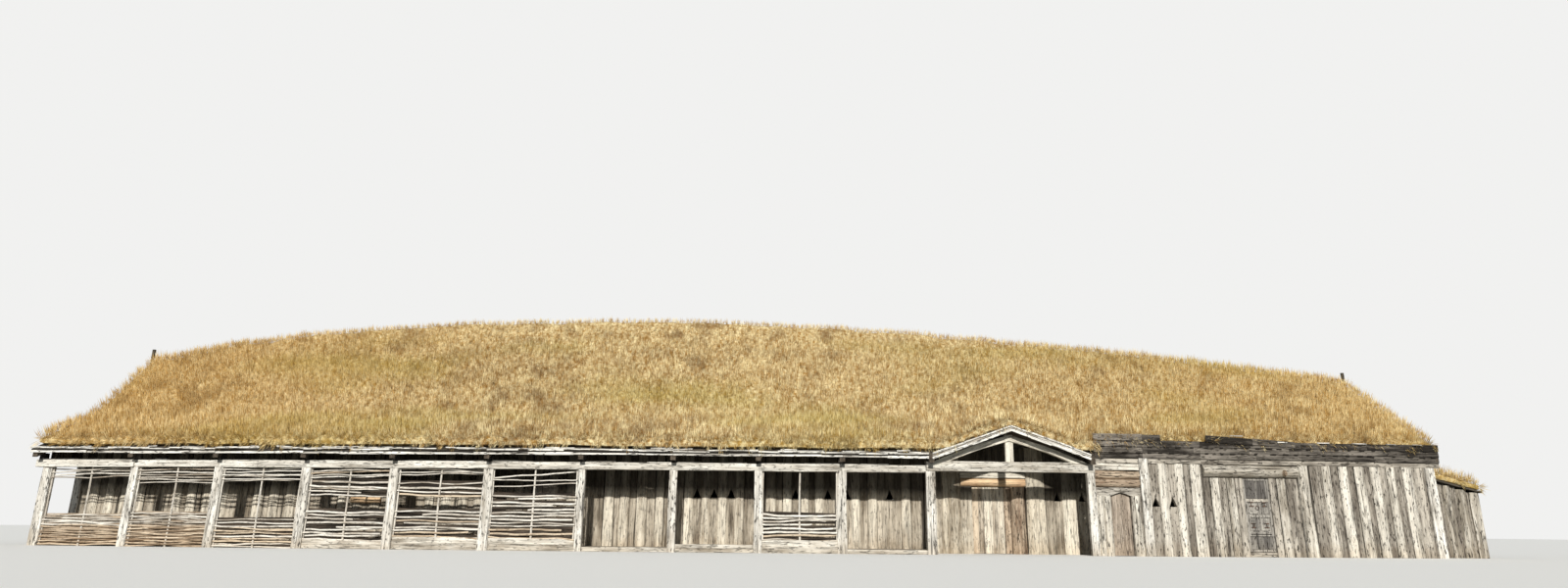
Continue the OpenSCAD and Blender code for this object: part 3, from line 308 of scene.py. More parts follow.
wood_colour = dye.mix(splashed, wood_colour, SOIL_TINT, "MULTIPLY")
# Painted shade: from 1.33 m to 1.5 m up, the colour darkens towards near black, where the eave's shadow
# falls; each wood's number says how much
eave_shade_edge = dye.plus(wood_in["Above Ground"], dye.spread(streaks, 0.3, 0.7, -0.05, 0.05))
eave_shaded = dye.times(dye.spread(eave_shade_edge, EAVE_SHADE_FROM, EAVE_SHADE_TO), wood_in["Painted Eave Shade"])
wood_colour = dye.mix(eave_shaded, wood_colour, EAVE_SHADE_TINT, "MULTIPLY")
wood_colour = dye.mix(dye.times(pits, 0.85), wood_colour, ROTTEN)
wood_colour = dye.mix(dye.times(cracks, 0.92), wood_colour, ROTTEN)
dye.feed(wood_out["Color"], wood_colour)
dye.feed(wood_out["Roughness"], dye.spread(streaks, 0.3, 0.7, 0.95, 0.78))
relief = dye.plus(dye.times(streaks, 0.6), dye.times(fibres, 0.25))
relief = dye.plus(relief, dye.times(hairs, 0.12))
relief = dye.minus(relief, dye.plus(cracks, dye.times(pits, 0.7)))
dye.feed(wood_out["Height"], relief)
print("group", wood_group.name, len(wood_group.nodes), "nodes")

# %% [markdown]
# A piece that is made here carries its grain as an attribute, so that the streaks run along each
# timber however it lies. A node that is carried over from CAD has no such attribute, so its
# material turns Object coordinates instead: upright, lying along the front, or down the slope.
# %% Wood materials
GRAIN_TURNS = {"upright": (0, math.pi / 2, 0), "lying": (0, 0, 0), "slope": (0, 0, -math.pi / 2)}
WOOD_RELIEF = 0.012


def wood(name, pale, dark, cracks=0.7, pits=0.5, grain="grain", tone=0.5, splash=0.35, painted_eave_shade=0.0):
    made, dye, shader = new_material(name)
    group = dye.node("ShaderNodeGroup", node_tree=wood_group)
    place = dye.object_place()
    parts = dye.node("ShaderNodeSeparateXYZ")
    dye.feed(parts.inputs[0], place)
    dye.feed(group.inputs["Above Ground"], parts.outputs["Z"])
    if grain == "grain":
        dye.feed(group.inputs["Place"], dye.attribute("grain", "Vector"))
        dye.feed(group.inputs["Tone"], dye.attribute("tone", "Fac"))
    else:
        turned = dye.node("ShaderNodeMapping", vector_type="TEXTURE")
        turned.inputs["Rotation"].default_value = GRAIN_TURNS[grain]
        dye.feed(turned.inputs["Vector"], place)
        dye.feed(group.inputs["Place"], turned.outputs[0])
        group.inputs["Tone"].default_value = tone
    for label, value in (("Pale", (*pale, 1)), ("Dark", (*dark, 1)), ("Cracks", cracks), ("Pits", pits),
                         ("Splash", splash), ("Painted Eave Shade", painted_eave_shade)):
        group.inputs[label].default_value = value
    dye.feed(shader.inputs["Base Color"], group.outputs["Color"])
    dye.feed(shader.inputs["Roughness"], group.outputs["Roughness"])
    dye.bump(shader, group.outputs["Height"], WOOD_RELIEF, 0.8)
    shader.inputs["Specular IOR Level"].default_value = 0.2
    return made


post_wood = wood("bleached post wood", (0.98, 0.95, 0.88), (0.42, 0.38, 0.32), 1.0, 1.0)
beam_wood = wood("bleached beam wood", (0.95, 0.92, 0.84), (0.40, 0.36, 0.30), 0.8, 0.7)
cream_wood = wood("cream truss wood", (0.93, 0.88, 0.76), (0.42, 0.36, 0.28), 0.6, 0.5)
edge_wood = wood("split edge board wood", (0.98, 0.96, 0.90), (0.30, 0.26, 0.21), 1.0, 1.0)
# The stave, porch stave and plank woods, and the CAD hall timbers upright and lying, are darkened high up as
# painted shade of the eave's shadow. The porch staves are a darker copy that gets less of this shade, so the
# sunlit arc over the door stays bright.
stave_wood = wood("bleached stave wood, painted eave shade above", (0.93, 0.86, 0.72), (0.40, 0.34, 0.26), 0.8, 0.6, painted_eave_shade=0.8)
porch_stave_wood = wood("porch stave wood", (0.90, 0.82, 0.67), (0.38, 0.32, 0.24), 0.8, 0.6, painted_eave_shade=0.3)
plank_wood = wood("recessed plank wood", (0.66, 0.59, 0.48), (0.24, 0.20, 0.15), 0.9, 0.5, painted_eave_shade=0.85)
wing_wood = wood("speckled wing stave wood", (0.91, 0.86, 0.76), (0.36, 0.32, 0.26), 1.0, 1.0)
wing_plank_wood = wood("grey wing plank wood", (0.62, 0.57, 0.49), (0.20, 0.175, 0.145), 1.0, 1.0)
brown_wood = wood("reddish brown wood", (0.60, 0.47, 0.34), (0.21, 0.145, 0.095), 0.9, 0.7)
barked_wood = wood("half barked log wood", (0.74, 0.60, 0.45), (0.22, 0.15, 0.10), 1.0, 1.0)
leaf_wood = wood("grey brown leaf wood", (0.66, 0.565, 0.465), (0.28, 0.225, 0.175), 1.0, 0.6)
orange_wood = wood("orange lintel wood", (0.92, 0.68, 0.43), (0.48, 0.29, 0.16), 0.7, 0.3)
door_wood = wood("pale door board wood", (0.90, 0.82, 0.68), (0.42, 0.35, 0.27), 0.9, 0.6)
panel_wood = wood("grey carved panel wood", (0.50, 0.47, 0.42), (0.14, 0.13, 0.12), 0.8, 1.0)
# This dark wood is tar on the lapped boards. It is painted shade where it colours the rafter blocks, the dark
# eave row, the wedges and the door's slot.
dark_wood = wood("tarred board wood, also painted shade", (0.28, 0.25, 0.215), (0.028, 0.024, 0.020), 0.9, 0.9)
rod_wood = wood("peeled rod wood", (0.97, 0.93, 0.85), (0.40, 0.34, 0.27), 0.3, 0.5)
warm_rod_wood = wood("warm rod wood", (0.80, 0.67, 0.51), (0.34, 0.25, 0.17), 0.3, 0.5)
gap_shade_rod_wood = wood("inner rod wood, painted gap shade", (0.13, 0.10, 0.075), (0.025, 0.02, 0.016), 0.3, 0.3)
cad_upright_wood = wood("hall timber, upright", (0.34, 0.29, 0.23), (0.12, 0.10, 0.075), 0.8, 0.5, "upright",
                        painted_eave_shade=0.6)
cad_lying_wood = wood("hall timber, lying", (0.46, 0.42, 0.36), (0.18, 0.15, 0.12), 0.8, 0.5, "lying",
                      painted_eave_shade=0.6)
cad_slope_wood = wood("hall timber, sloping", (0.16, 0.13, 0.10), (0.05, 0.04, 0.03), 0.6, 0.4, "slope")
cad_dark_wood = wood("roof boarding wood", (0.14, 0.12, 0.095), (0.035, 0.03, 0.024), 0.7, 0.5, "lying")
lintel_wood = wood("grey lintel wood", (0.68, 0.64, 0.57), (0.26, 0.23, 0.19), 0.9, 0.9, "lying", 0.55)
print("woods", len(bpy.data.materials))

# %% [markdown]
# The hinges are forged iron that has rusted: nearly black, with red-brown blooms and a grainy
# surface.
# %% Rusted iron
iron, dye, iron_shader = new_material("rusted iron")
iron_place = dye.object_place()
rust_part = dye.spread(dye.noise(iron_place, 22.0, 4.0), 0.42, 0.62)
dye.feed(iron_shader.inputs["Base Color"], dye.mix(rust_part, (0.035, 0.03, 0.028), (0.16, 0.07, 0.035)))
dye.feed(iron_shader.inputs["Roughness"], dye.spread(rust_part, 0, 1, 0.55, 0.9))
dye.feed(iron_shader.inputs["Metallic"], dye.spread(rust_part, 0, 1, 0.8, 0.1))
dye.bump(iron_shader, dye.noise(iron_place, 90.0, 3.0), 0.002)
print("material", iron.name)

# %% [markdown]
# Dry grass is never one colour. Broad patches of the roof are golden, others brown or still a
# little green, both ends are more golden than the middle, and every tuft differs. The group
# reads the place for the patches and takes two more numbers: a tone that each tuft has by
# chance, and how far along the blade a point lies, because blades are dark and damp at the
# root and bleached above.
# %% Node group for dry grass
straw_group, straw_in, straw_out = new_group(
    "dry grass", [("Place", VECTOR), ("Tone", NUMBER), ("Tip", NUMBER)], [("Color", COLOUR)]
)
dye = Dye(straw_group)
roof_place = straw_in["Place"]
wide_patch = dye.noise(roof_place, 0.33, 3.0, 0.6)
patch = dye.noise(roof_place, 1.5, 3.0, 0.6)
green_patch = dye.noise(dye.stretch(roof_place, (0.16, 0.5, 0.5)), 1.0, 2.0, 0.5)
combed = dye.noise(dye.stretch(roof_place, (9, 3, 3)), 1.0, 3.0, 0.6)
speckle = dye.noise(roof_place, 10.0, 2.0, 0.6)
straw_light = dye.plus(dye.spread(combed, 0.3, 0.7, -0.30, 0.22), dye.times(straw_in["Tone"], 1.25))
straw_light = dye.plus(straw_light, dye.spread(speckle, 0.34, 0.66, -0.50, 0.46))
straw = dye.mix(dye.within(straw_light), (0.42, 0.235, 0.06), (1.0, 0.88, 0.54))
brown_part = dye.times(dye.spread(patch, 0.50, 0.64), dye.spread(wide_patch, 0.38, 0.56))
straw = dye.mix(dye.times(brown_part, 0.7), straw, (0.26, 0.15, 0.06))
# Painted shade: small dark spots stand for the shadow in hollows of the turf.
painted_hollow_shade = dye.noise(roof_place, 4.5, 3.0, 0.6)
straw = dye.mix(dye.spread(painted_hollow_shade, 0.58, 0.70, 0.0, 0.6), straw, (0.17, 0.10, 0.04))
straw = dye.mix(dye.spread(green_patch, 0.53, 0.70, 0.0, 0.45), straw, (0.52, 0.43, 0.10))
along_roof = dye.node("ShaderNodeSeparateXYZ")
dye.feed(along_roof.inputs[0], roof_place)
straw = dye.mix(dye.spread(along_roof.outputs["X"], -17.0, -7.0, 0.42, 0.0), straw, (0.72, 0.46, 0.14))
straw = dye.mix(dye.spread(along_roof.outputs["X"], 5.0, 15.0, 0.0, 0.28), straw, (0.74, 0.50, 0.16))
rooted = dye.mix(dye.spread(straw_in["Tip"], 0.0, 0.44), (0.29, 0.18, 0.065), straw)
dye.feed(straw_out["Color"], rooted)
print("group", straw_group.name, len(straw_group.nodes), "nodes")

# %% [markdown]
# The sod between the tufts takes the same colours, a shade darker, with a rough relief. The
# blades read both of their attributes. Both materials use Object coordinates for the patches,
# so a golden patch is golden in the sod and in the grass that stands on it.
# %% Sod and grass materials


def straw_material(name, tip, tone, relief_depth):
    """tip and tone are numbers for the bare sod, or None where the mesh carries them."""
    made, dye, shader = new_material(name)
    group = dye.node("ShaderNodeGroup", node_tree=straw_group)
    place = dye.object_place()
    dye.feed(group.inputs["Place"], place)
    for label, socket, number in (("tip", "Tip", tip), ("tone", "Tone", tone)):
        dye.feed(group.inputs[socket], dye.attribute(label, "Fac") if number is None else number)
    dye.feed(shader.inputs["Base Color"], group.outputs["Color"])
    shader.inputs["Roughness"].default_value = 0.85
    shader.inputs["Specular IOR Level"].default_value = 0.15
    if relief_depth:
        dye.bump(shader, dye.noise(dye.stretch(place, (16, 7, 7)), 1.0, 5.0, 0.7), relief_depth)
    return made


sod = straw_material("sod", 0.44, 0.42, 0.06)
grass = straw_material("dry grass blades", None, None, 0)
print("materials", sod.name, grass.name)


def to_mode(mode):
    bpy.ops.object.mode_set(mode=mode)


def pick(*pieces):
    if bpy.context.object is not None and bpy.context.object.mode != "OBJECT":
        to_mode("OBJECT")
    bpy.ops.object.select_all(action="DESELECT")
    for piece in pieces:
        piece.select_set(True)
    bpy.context.view_layer.objects.active = pieces[0]


def pick_edges(piece, axis):
    """Selects, in edit mode, the edges that run along one axis."""
    pick(piece)
    to_mode("EDIT")
    bpy.ops.mesh.select_mode(type="EDGE")
    bpy.ops.mesh.select_all(action="DESELECT")
    to_mode("OBJECT")
    mesh = piece.data
    for edge in mesh.edges:
        way = mesh.vertices[edge.vertices[1]].co - mesh.vertices[edge.vertices[0]].co
        edge.select = abs(way[axis]) > 0.98 * way.length
    to_mode("EDIT")


def cut_rings(piece, axis, cuts):
    pick_edges(piece, axis)
    bpy.ops.mesh.subdivide(number_cuts=cuts)
    to_mode("OBJECT")


def own_copy(source):
    """A copy with a mesh of its own, and without the source's ties to the frame."""
    twin = source.copy()
    twin.data = source.data.copy()
    for key in list(twin.keys()):
        del twin[key]
    twin.parent = None
    bpy.context.scene.collection.objects.link(twin)
    return twin


def settle(piece, modifier):
    """Applies a modifier, so that what it makes becomes the mesh."""
    pick(piece)
    bpy.context.view_layer.update()
    bpy.ops.object.modifier_apply(modifier=modifier.name)


def triangles(piece):
    return sum(len(face.vertices) - 2 for face in piece.data.polygons)


# %% [markdown]
# All the timbers start from six shapes, each one metre long: a hewn square, a flat plank, a
# short block, a round log, a thin rod, and a split log with its round side out. They are
# modelled once, with enough rings to take a bend and a rough surface. A long timber is later
# the same shape, stretched to its size, so the shapes keep their place: X is the length, Y the
# width, and Z points out of the wall.
# %% The six timber shapes
shapes = {}


def keep_shape(name, piece):
    piece.name = "shape_" + name
    pick(piece)
    bpy.ops.object.transform_apply(location=True, rotation=True, scale=True)
    shapes[name] = piece


def squared_shape(name, rings, across, low, bevel):
    bpy.ops.object.select_all(action="DESELECT")
    bpy.ops.mesh.primitive_cube_add(size=1, location=(0.5, 0, low + 0.5))
    piece = bpy.context.object
    keep_shape(name, piece)
    pick_edges(piece, 0)
    bpy.ops.mesh.bevel(offset=bevel, segments=2, affect="EDGES")
    to_mode("OBJECT")
    if across:
        cut_rings(piece, 1, across)
    cut_rings(piece, 0, rings)


def round_shape(name, sides, rings):
    bpy.ops.object.select_all(action="DESELECT")
    bpy.ops.mesh.primitive_cylinder_add(
        vertices=sides, radius=0.5, depth=1, location=(0.5, 0, 0), rotation=(0, math.pi / 2, 0)
    )
    piece = bpy.context.object
    keep_shape(name, piece)
    cut_rings(piece, 0, rings)


squared_shape("hewn", 15, 1, -0.5, 0.07)
squared_shape("plank", 9, 3, -1.0, 0.02)
squared_shape("short", 3, 0, -0.5, 0.06)
round_shape("log", 14, 17)
round_shape("rod", 6, 13)
round_shape("split", 16, 12)
pick(shapes["split"])
to_mode("EDIT")
bpy.ops.mesh.select_all(action="SELECT")
bpy.ops.mesh.bisect(plane_co=(0, 0, 0), plane_no=(0, 0, 1), use_fill=True, clear_inner=True)
bpy.ops.mesh.select_all(action="SELECT")
bpy.ops.transform.resize(value=(1, 1, 2), center_override=(0, 0, 0))
bpy.ops.mesh.normals_make_consistent(inside=False)
to_mode("OBJECT")
print("shapes", {name: triangles(piece) for name, piece in shapes.items()})

# %% [markdown]
# A timber is a copy of a shape at its real size. While it still lies in its own frame, its
# coordinates are stored as the grain attribute, moved by a random distance so that no two
# timbers share their cracks. Then it is set in the house by its start, the way it runs, and the
# way its face looks. A bend function may curve it, and a cutter may take a hole out of it.
# %% Helpers for timbers


def cut_out(piece, cutter):
    hole = piece.modifiers.new("hole", "BOOLEAN")
    hole.object = cutter
    hole.operation = "DIFFERENCE"
    hole.solver = "EXACT"
    settle(piece, hole)


def timber(shape, start, along, out, size, material, tone=0.5, bend=None, cutter=None):
    piece = own_copy(shapes[shape])
    piece.data.transform(Matrix.Diagonal((*size, 1)))
    if cutter is not None:
        cut_out(piece, cutter)
    mesh = piece.data
    places = np.empty((len(mesh.vertices), 3), np.float32)
    mesh.vertices.foreach_get("co", places.ravel())
    if bend is not None:
        places = bend(places.copy()).astype(np.float32)
        mesh.vertices.foreach_set("co", places.ravel())
    grain = places + np.array([rng.uniform(-40, 40) for _ in range(3)], np.float32)
    mesh.attributes.new("grain", "FLOAT_VECTOR", "POINT").data.foreach_set("vector", grain.ravel())
    tones = np.full(len(mesh.vertices), tone + rng.uniform(-0.12, 0.12), np.float32)
    mesh.attributes.new("tone", "FLOAT", "POINT").data.foreach_set("value", tones)
    mesh.materials.clear()
    mesh.materials.append(material)
    along, out = along.normalized(), out.normalized()
    place = Matrix((along, out.cross(along), out)).transposed().to_4x4()
    place.translation = start
    mesh.transform(place)
    return piece


def bay_timber(shape, bay, left, right, behind, z, section, material, tone=0.5, bend=None):
    """A timber that lies along a bay from left to right, and shows its face to the front."""
    along, out = bay_vectors(bay)
    size = ((right - left) / along.x, *section)
    return timber(shape, on_bay(bay, left, behind, z), along, out, size, material, tone, bend)


def bowed(side=0.0, face=0.0, taper=0.0):
    """A bend for a timber that grew a little crooked and thins towards its end."""
    def bend(places):
        length = max(float(places[:, 0].max()), 0.001)
        part = places[:, 0] / length
        thin = 1 - taper * part
        places[:, 1] = places[:, 1] * thin + side * np.sin(np.pi * part)
        places[:, 2] = places[:, 2] * thin + face * np.sin(np.pi * part)
        return places
    return bend


def crooked(amount):
    return bowed(rng.uniform(-amount, amount), rng.uniform(-amount, amount) / 2, rng.uniform(0, 0.08))


def join(timbers):
    pick(*timbers)
    bpy.ops.object.join()
    return bpy.context.object


# %% [markdown] Old wood is rough in shape, not only in its shading. A Displace modifier
# pushes the joined timbers in and out by a cloud pattern, stretched along them by an empty
# that is used as a ruler. The pattern reads the place in the house, so every timber comes
# out different.
ALONG_UP, ALONG_FRONT = (1, 1, 7), (7, 1, 1)
UPRIGHT_WAVES, LYING_WAVES, GOUGES = (0.030, 0.22), (0.026, 0.20), (0.012, 0.05)
SMOOTH_BELOW = math.radians(38)
totals = {}


def roughen(piece, depth, size, ruler_scale):
    ruler = bpy.data.objects.new("ruler", None)
    bpy.context.scene.collection.objects.link(ruler)
    ruler.scale = ruler_scale
    clouds = bpy.data.textures.new("clouds", "CLOUDS")
    clouds.noise_scale = size
    clouds.noise_depth = 2
    push = piece.modifiers.new("rough", "DISPLACE")
    push.texture = clouds
    push.texture_coords = "OBJECT"
    push.texture_coords_object = ruler
    push.strength = depth
    push.mid_level = 0.5
    settle(piece, push)
    bpy.data.objects.remove(ruler)
    bpy.data.textures.remove(clouds)


def hand_over(piece, name, body, slot, *replaced):
    piece.name = name
    piece.data.name = name
    pick(piece)
    bpy.ops.object.shade_smooth_by_angle(angle=SMOOTH_BELOW)
    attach(piece, body)
    if replaced:
        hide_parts(*replaced)
    totals[name] = triangles(piece)
    return piece


def weathered(pieces, name, slot, replaced, ruler_scale, waves, rough):
    """Joins timbers of the house, gives them a wavy and a gouged surface, and hands them over."""
    made = join(pieces)
    for depth, size in (waves, GOUGES):
        roughen(made, depth * rough, size, ruler_scale)
    return hand_over(made, name, "house", slot, *replaced)


def upright(pieces, name, slot, *replaced, rough=1.0):
    return weathered(pieces, name, slot, replaced, ALONG_UP, UPRIGHT_WAVES, rough)


def lying(pieces, name, slot, *replaced, rough=1.0):
    return weathered(pieces, name, slot, replaced, ALONG_FRONT, LYING_WAVES, rough)


# %% [markdown]
# The front posts are hewn with an axe and have stood in the weather since, so each has its own
# thickness and leans or bows a little. The widths below are read off the photograph, post by
# post.
# %% Posts
GALLERY_WIDTHS = [0.235, 0.19, 0.225, 0.23, 0.225, 0.25, 0.165, 0.185, 0.20, 0.22]
PORCH_WIDTHS = [0.225, 0.19]
POST_DEEP = 0.19
PLANK_POST, ROUND_POST = (0.23, 0.20), (0.30, 0.30)
post_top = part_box("gallery_posts")[1].z


def front_post(i, width):
    start = Vector((post_x[i], front_y[i], 0))
    return timber("hewn", start, UP, OUT, (post_top, width, POST_DEEP), post_wood, 0.62, crooked(0.014))


upright([front_post(i, GALLERY_WIDTHS[i]) for i in range(GALLERY_BAYS)], "gallery_posts_hewn",
        "pale_timber", "gallery_posts")
upright([front_post(PORCH + k, PORCH_WIDTHS[k]) for k in (0, 1)], "porch_posts_hewn",
        "pale_timber", "porch_posts")

lap_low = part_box("wing_lapped_boards")[0].z
wing_wall_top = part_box("wing_wall_left")[1].z
wing_posts = [
    timber("hewn", Vector((post_x[PLAIN], front_y[PLAIN] - 0.015, 0)), UP, OUT,
           (lap_low, *PLANK_POST), post_wood, 0.72, crooked(0.01)),
    timber("hewn", Vector((post_x[LAST + 1], front_y[LAST + 1] - 0.015, 0)), UP, OUT,
           (wing_wall_top, *PLANK_POST), post_wood, 0.70, crooked(0.01)),
    timber("log", Vector((post_x[LAST], front_y[LAST] - 0.02, 0)), UP, OUT,
           (wing_wall_top, *ROUND_POST), wing_wood, 0.62, bowed(0.02, 0.0, 0.16)),
]
upright(wing_posts, "wing_posts_hewn", "pale_timber", "wing_posts")
print("posts", totals)

# %% [markdown]
# The beam on the gallery posts was hewn from several trunks. Seen from the front its upper edge
# goes up and down in small steps, where slabs have split off. So each bay gets one long timber,
# with a few thin slabs of random length on top, and the blocks that lift the rafters, coloured
# nearly black as painted shade under the eave.
# %% Gallery beam
BEAM_H, BEAM_DEEP = 0.14, 0.17
SLAB_DEEP, SLAB_SHARE = 0.15, 0.62
BLOCK_SIZE = (0.15, 0.15)
beam_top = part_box("gallery_beam")[1].z


def slabs_on(bay, start_x, end_x, z):
    """Thin slabs of chance lengths along the top of a beam."""
    along = bay_vectors(bay)[0]
    made = []
    x = start_x
    while x < end_x - 0.25:
        length = min(rng.uniform(0.25, 0.85), end_x - x)
        if rng.random() < SLAB_SHARE:
            size = (length, SLAB_DEEP * rng.uniform(0.6, 1.0), rng.uniform(0.02, 0.045))
            made.append(timber("short", on_bay(bay, x, 0.0, z), along, UP, size, beam_wood, 0.75))
        x += length
    return made


# The blocks are coloured nearly black: painted shade, where the roof's shadow falls on them.
def rafter_block(start, tall):
    return timber("short", start, UP, OUT, (tall, *BLOCK_SIZE), dark_wood, 0.1)


beam_timbers = []
for bay in range(GALLERY_BAYS):
    along = bay_vectors(bay)[0]
    left = post_x[bay] - (0.29 if bay == 0 else 0.0)
    right = post_x[bay + 1] - (0.11 if bay == GALLERY_BAYS - 1 else 0.0)
    start = on_bay(bay, left, -0.015, post_top + BEAM_H / 2 - 0.02)
    size = ((right - left) / along.x, BEAM_DEEP, (BEAM_H + 0.04) * rng.uniform(0.94, 1.0))
    beam_timbers.append(timber("hewn", start, along, UP, size, beam_wood, 0.62, crooked(0.006)))
    beam_timbers += slabs_on(bay, left + 0.05, right - 0.05, post_top + BEAM_H)
    block = Vector((post_x[bay] - (0.195 if bay == 0 else 0.0), front_y[bay], post_top + BEAM_H))
    beam_timbers.append(rafter_block(block, beam_top - block.z))
lying(beam_timbers, "gallery_beam_hewn", "pale_timber", "gallery_beam", rough=0.8)
print("gallery beam", totals["gallery_beam_hewn"])

# %% [markdown]
# The porch stands a little turned, because the front bows. Its pieces are easier to place in the
# porch's own measures: u runs along its front line from the left post. The first piece made so
# is the tie beam, one thick hewn timber over both posts that carries the truss.
# %% Porch tie beam
TIE_H, TIE_DEEP = 0.23, 0.18
TIE_OVER = KNEE + POST_W / 2
porch_along, porch_out = bay_vectors(PORCH)
porch_start = Vector((post_x[PORCH] + KNEE, front_y[PORCH], 0))
porch_span = (post_x[PORCH + 1] - post_x[PORCH] - 2 * KNEE) / porch_along.x
tie_top = post_top + TIE_H
tie_block_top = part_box("porch_tie_beam")[1].z


def on_porch(u, out=0.0, z=0.0):
    """A point above the porch's front line: u along it from its left post, and out before it."""
    return porch_start + porch_along * u + porch_out * out + UP * z


tie_timbers = [timber("hewn", on_porch(-TIE_OVER, 0, post_top + TIE_H / 2), porch_along, UP,
                      (porch_span + 2 * TIE_OVER, TIE_DEEP, TIE_H), beam_wood, 0.22, bowed(0, 0.008, 0))]
for i in (PORCH, PORCH + 1):
    block = Vector((post_x[i], front_y[i], tie_top))
    tie_timbers.append(rafter_block(block, tie_block_top - tie_top))
lying(tie_timbers, "porch_tie_beam_hewn", "pale_timber", "porch_tie_beam", rough=0.8)
print("porch tie beam", totals["porch_tie_beam_hewn"])

# %% [markdown]
# The porch gable is a small truss: two rafters that meet at the peak, a king post between them,
# and split boards along both slopes that hold the turf. The inner edge of the rafters is worn
# to a shallow arch, so they are bent timbers, and the boards lie in three uneven courses.
# %% Porch truss and verge boards
EAVE_OUT = 0.35
EAVE_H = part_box("eave_boards")[0].z + 0.065
porch_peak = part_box("porch_verge_boards")[1].z - 0.08
porch_rise = (porch_peak - EAVE_H) / (porch_span / 2)
slope = math.atan(porch_rise)
KING_SIZE = (0.19, 0.10)


def porch_under(u):
    return EAVE_H + porch_rise * min(u, porch_span - u)


def slope_timber(side, u, z_drop, out, size, material, tone, bend=None):
    """A timber up one slope of the gable: side is 1 on the left and -1 on the right."""
    start_u = u if side > 0 else porch_span - u
    way = (porch_along * side * math.cos(slope) + UP * math.sin(slope)).normalized()
    start = on_porch(start_u, out, porch_under(start_u) - z_drop)
    return timber("hewn", start, way, porch_out, size, material, tone, bend)


rafter_len = (porch_span / 2 - 0.02) / math.cos(slope)
truss_timbers = [slope_timber(side, 0.02, 0.20, 0.04, (rafter_len, 0.14, 0.10), cream_wood, 0.85,
                              bowed(0.045 * side, 0, 0.05)) for side in (1, -1)]
lying(truss_timbers, "porch_truss_hewn", "cream_timber", "porch_truss", rough=0.5)
king = [timber("hewn", on_porch(porch_span / 2, 0, tie_top), UP, porch_out,
               (porch_under(porch_span / 2) - 0.12 - tie_top, *KING_SIZE), cream_wood, 0.70)]
upright(king, "porch_king_post_hewn", "pale_timber", "porch_king_post", rough=0.5)

VERGE_COURSES = (
    # how far below the slope, how far out, width, tone, boards
    (0.030, 0.016, 0.055, 0.95, 4), (-0.035, 0.016, 0.055, 0.35, 3), (-0.062, 0.046, 0.035, 0.90, 5),
)
verge_out = EAVE_OUT * math.cos(bay_turn(PORCH))
verge_timbers = []
for side in (1, -1):
    full = (porch_span / 2 + (KNEE if side > 0 else 0.0)) / math.cos(slope)
    foot = -KNEE if side > 0 else 0.0
    for drop, out, wide, tone, boards in VERGE_COURSES:
        for k in range(boards):
            start = foot + k * full * math.cos(slope) / boards
            length = full / boards * rng.uniform(0.97, 1.06)
            if k == boards - 1:
                length = full / boards
            low = drop + rng.uniform(-0.010, 0.010)
            size = (length, wide * rng.uniform(0.8, 1.1), 0.028)
            verge_timbers.append(slope_timber(side, start, low, verge_out + out, size, edge_wood, tone))
lying(verge_timbers, "porch_verge_boards_split", "edge_boards", "porch_verge_boards", rough=0.7)
print("porch gable", totals["porch_truss_hewn"], totals["porch_verge_boards_split"])

# %% [markdown]
# Along the eave the turf is held by rows of split boards, nearly white, with ragged edges. They
# are short lengths that overlap, no two are level, and in the upper rows some are missing.
# Behind them runs a row of boards coloured nearly black, as painted shade that shows as the gap
# between the white rows. Each board is a hewn shape, laid bay by bay along the eave's straight
# stretches.
# %% Eave boards
EAVE_ROWS = (
    # height over the eave line, how far out, width, thickness, tone, lengths, wood, stray, share kept
    (-0.038, 0.016, 0.050, 0.030, 0.88, (0.7, 1.9), edge_wood, 0.010, 1.0),
    # this row is painted shade: boards coloured nearly black, for the shadow in the gap
    (0.014, 0.006, 0.036, 0.020, 0.0, (0.9, 2.0), dark_wood, 0.006, 1.0),
    (0.052, 0.040, 0.042, 0.028, 0.95, (0.3, 1.1), edge_wood, 0.022, 0.9),
    (0.082, 0.052, 0.026, 0.022, 0.90, (0.15, 0.6), edge_wood, 0.020, 0.55),
)


def edge_run(bay, start_x, end_x, row):
    """A row of overlapping split boards along a bay's eave. stray is how far one lies off its line."""
    rise, out, wide, thick, tone, lengths, material, stray, kept = row
    along, face = bay_vectors(bay)
    made = []
    x = start_x
    while x < end_x - 0.08:
        length = min(rng.uniform(*lengths), end_x - x)
        start = Vector((x, line_y(bay, x) - EAVE_OUT - out, EAVE_H + rise + rng.uniform(-stray, stray)))
        way = (along + UP * rng.uniform(-0.6, 0.6) * stray / length).normalized()
        if rng.random() < kept:
            size = (length, wide * rng.uniform(0.6, 1.15), thick)
            made.append(timber("hewn", start, way, face, size, material, tone + rng.uniform(-0.2, 0.15)))
        x += length * rng.uniform(0.9, 1.0)
    return made


eave_timbers = []
for bay in range(GALLERY_BAYS):
    left = post_x[bay] - (0.30 if bay == 0 else 0.0)
    right = post_x[bay + 1] - (0.065 if bay == GALLERY_BAYS - 1 else 0.0)
    for row in EAVE_ROWS:
        eave_timbers += edge_run(bay, left, right, row)
lying(eave_timbers, "eave_boards_split", "edge_boards", "eave_boards", rough=0.75)
print("eave boards", totals["eave_boards_split"])

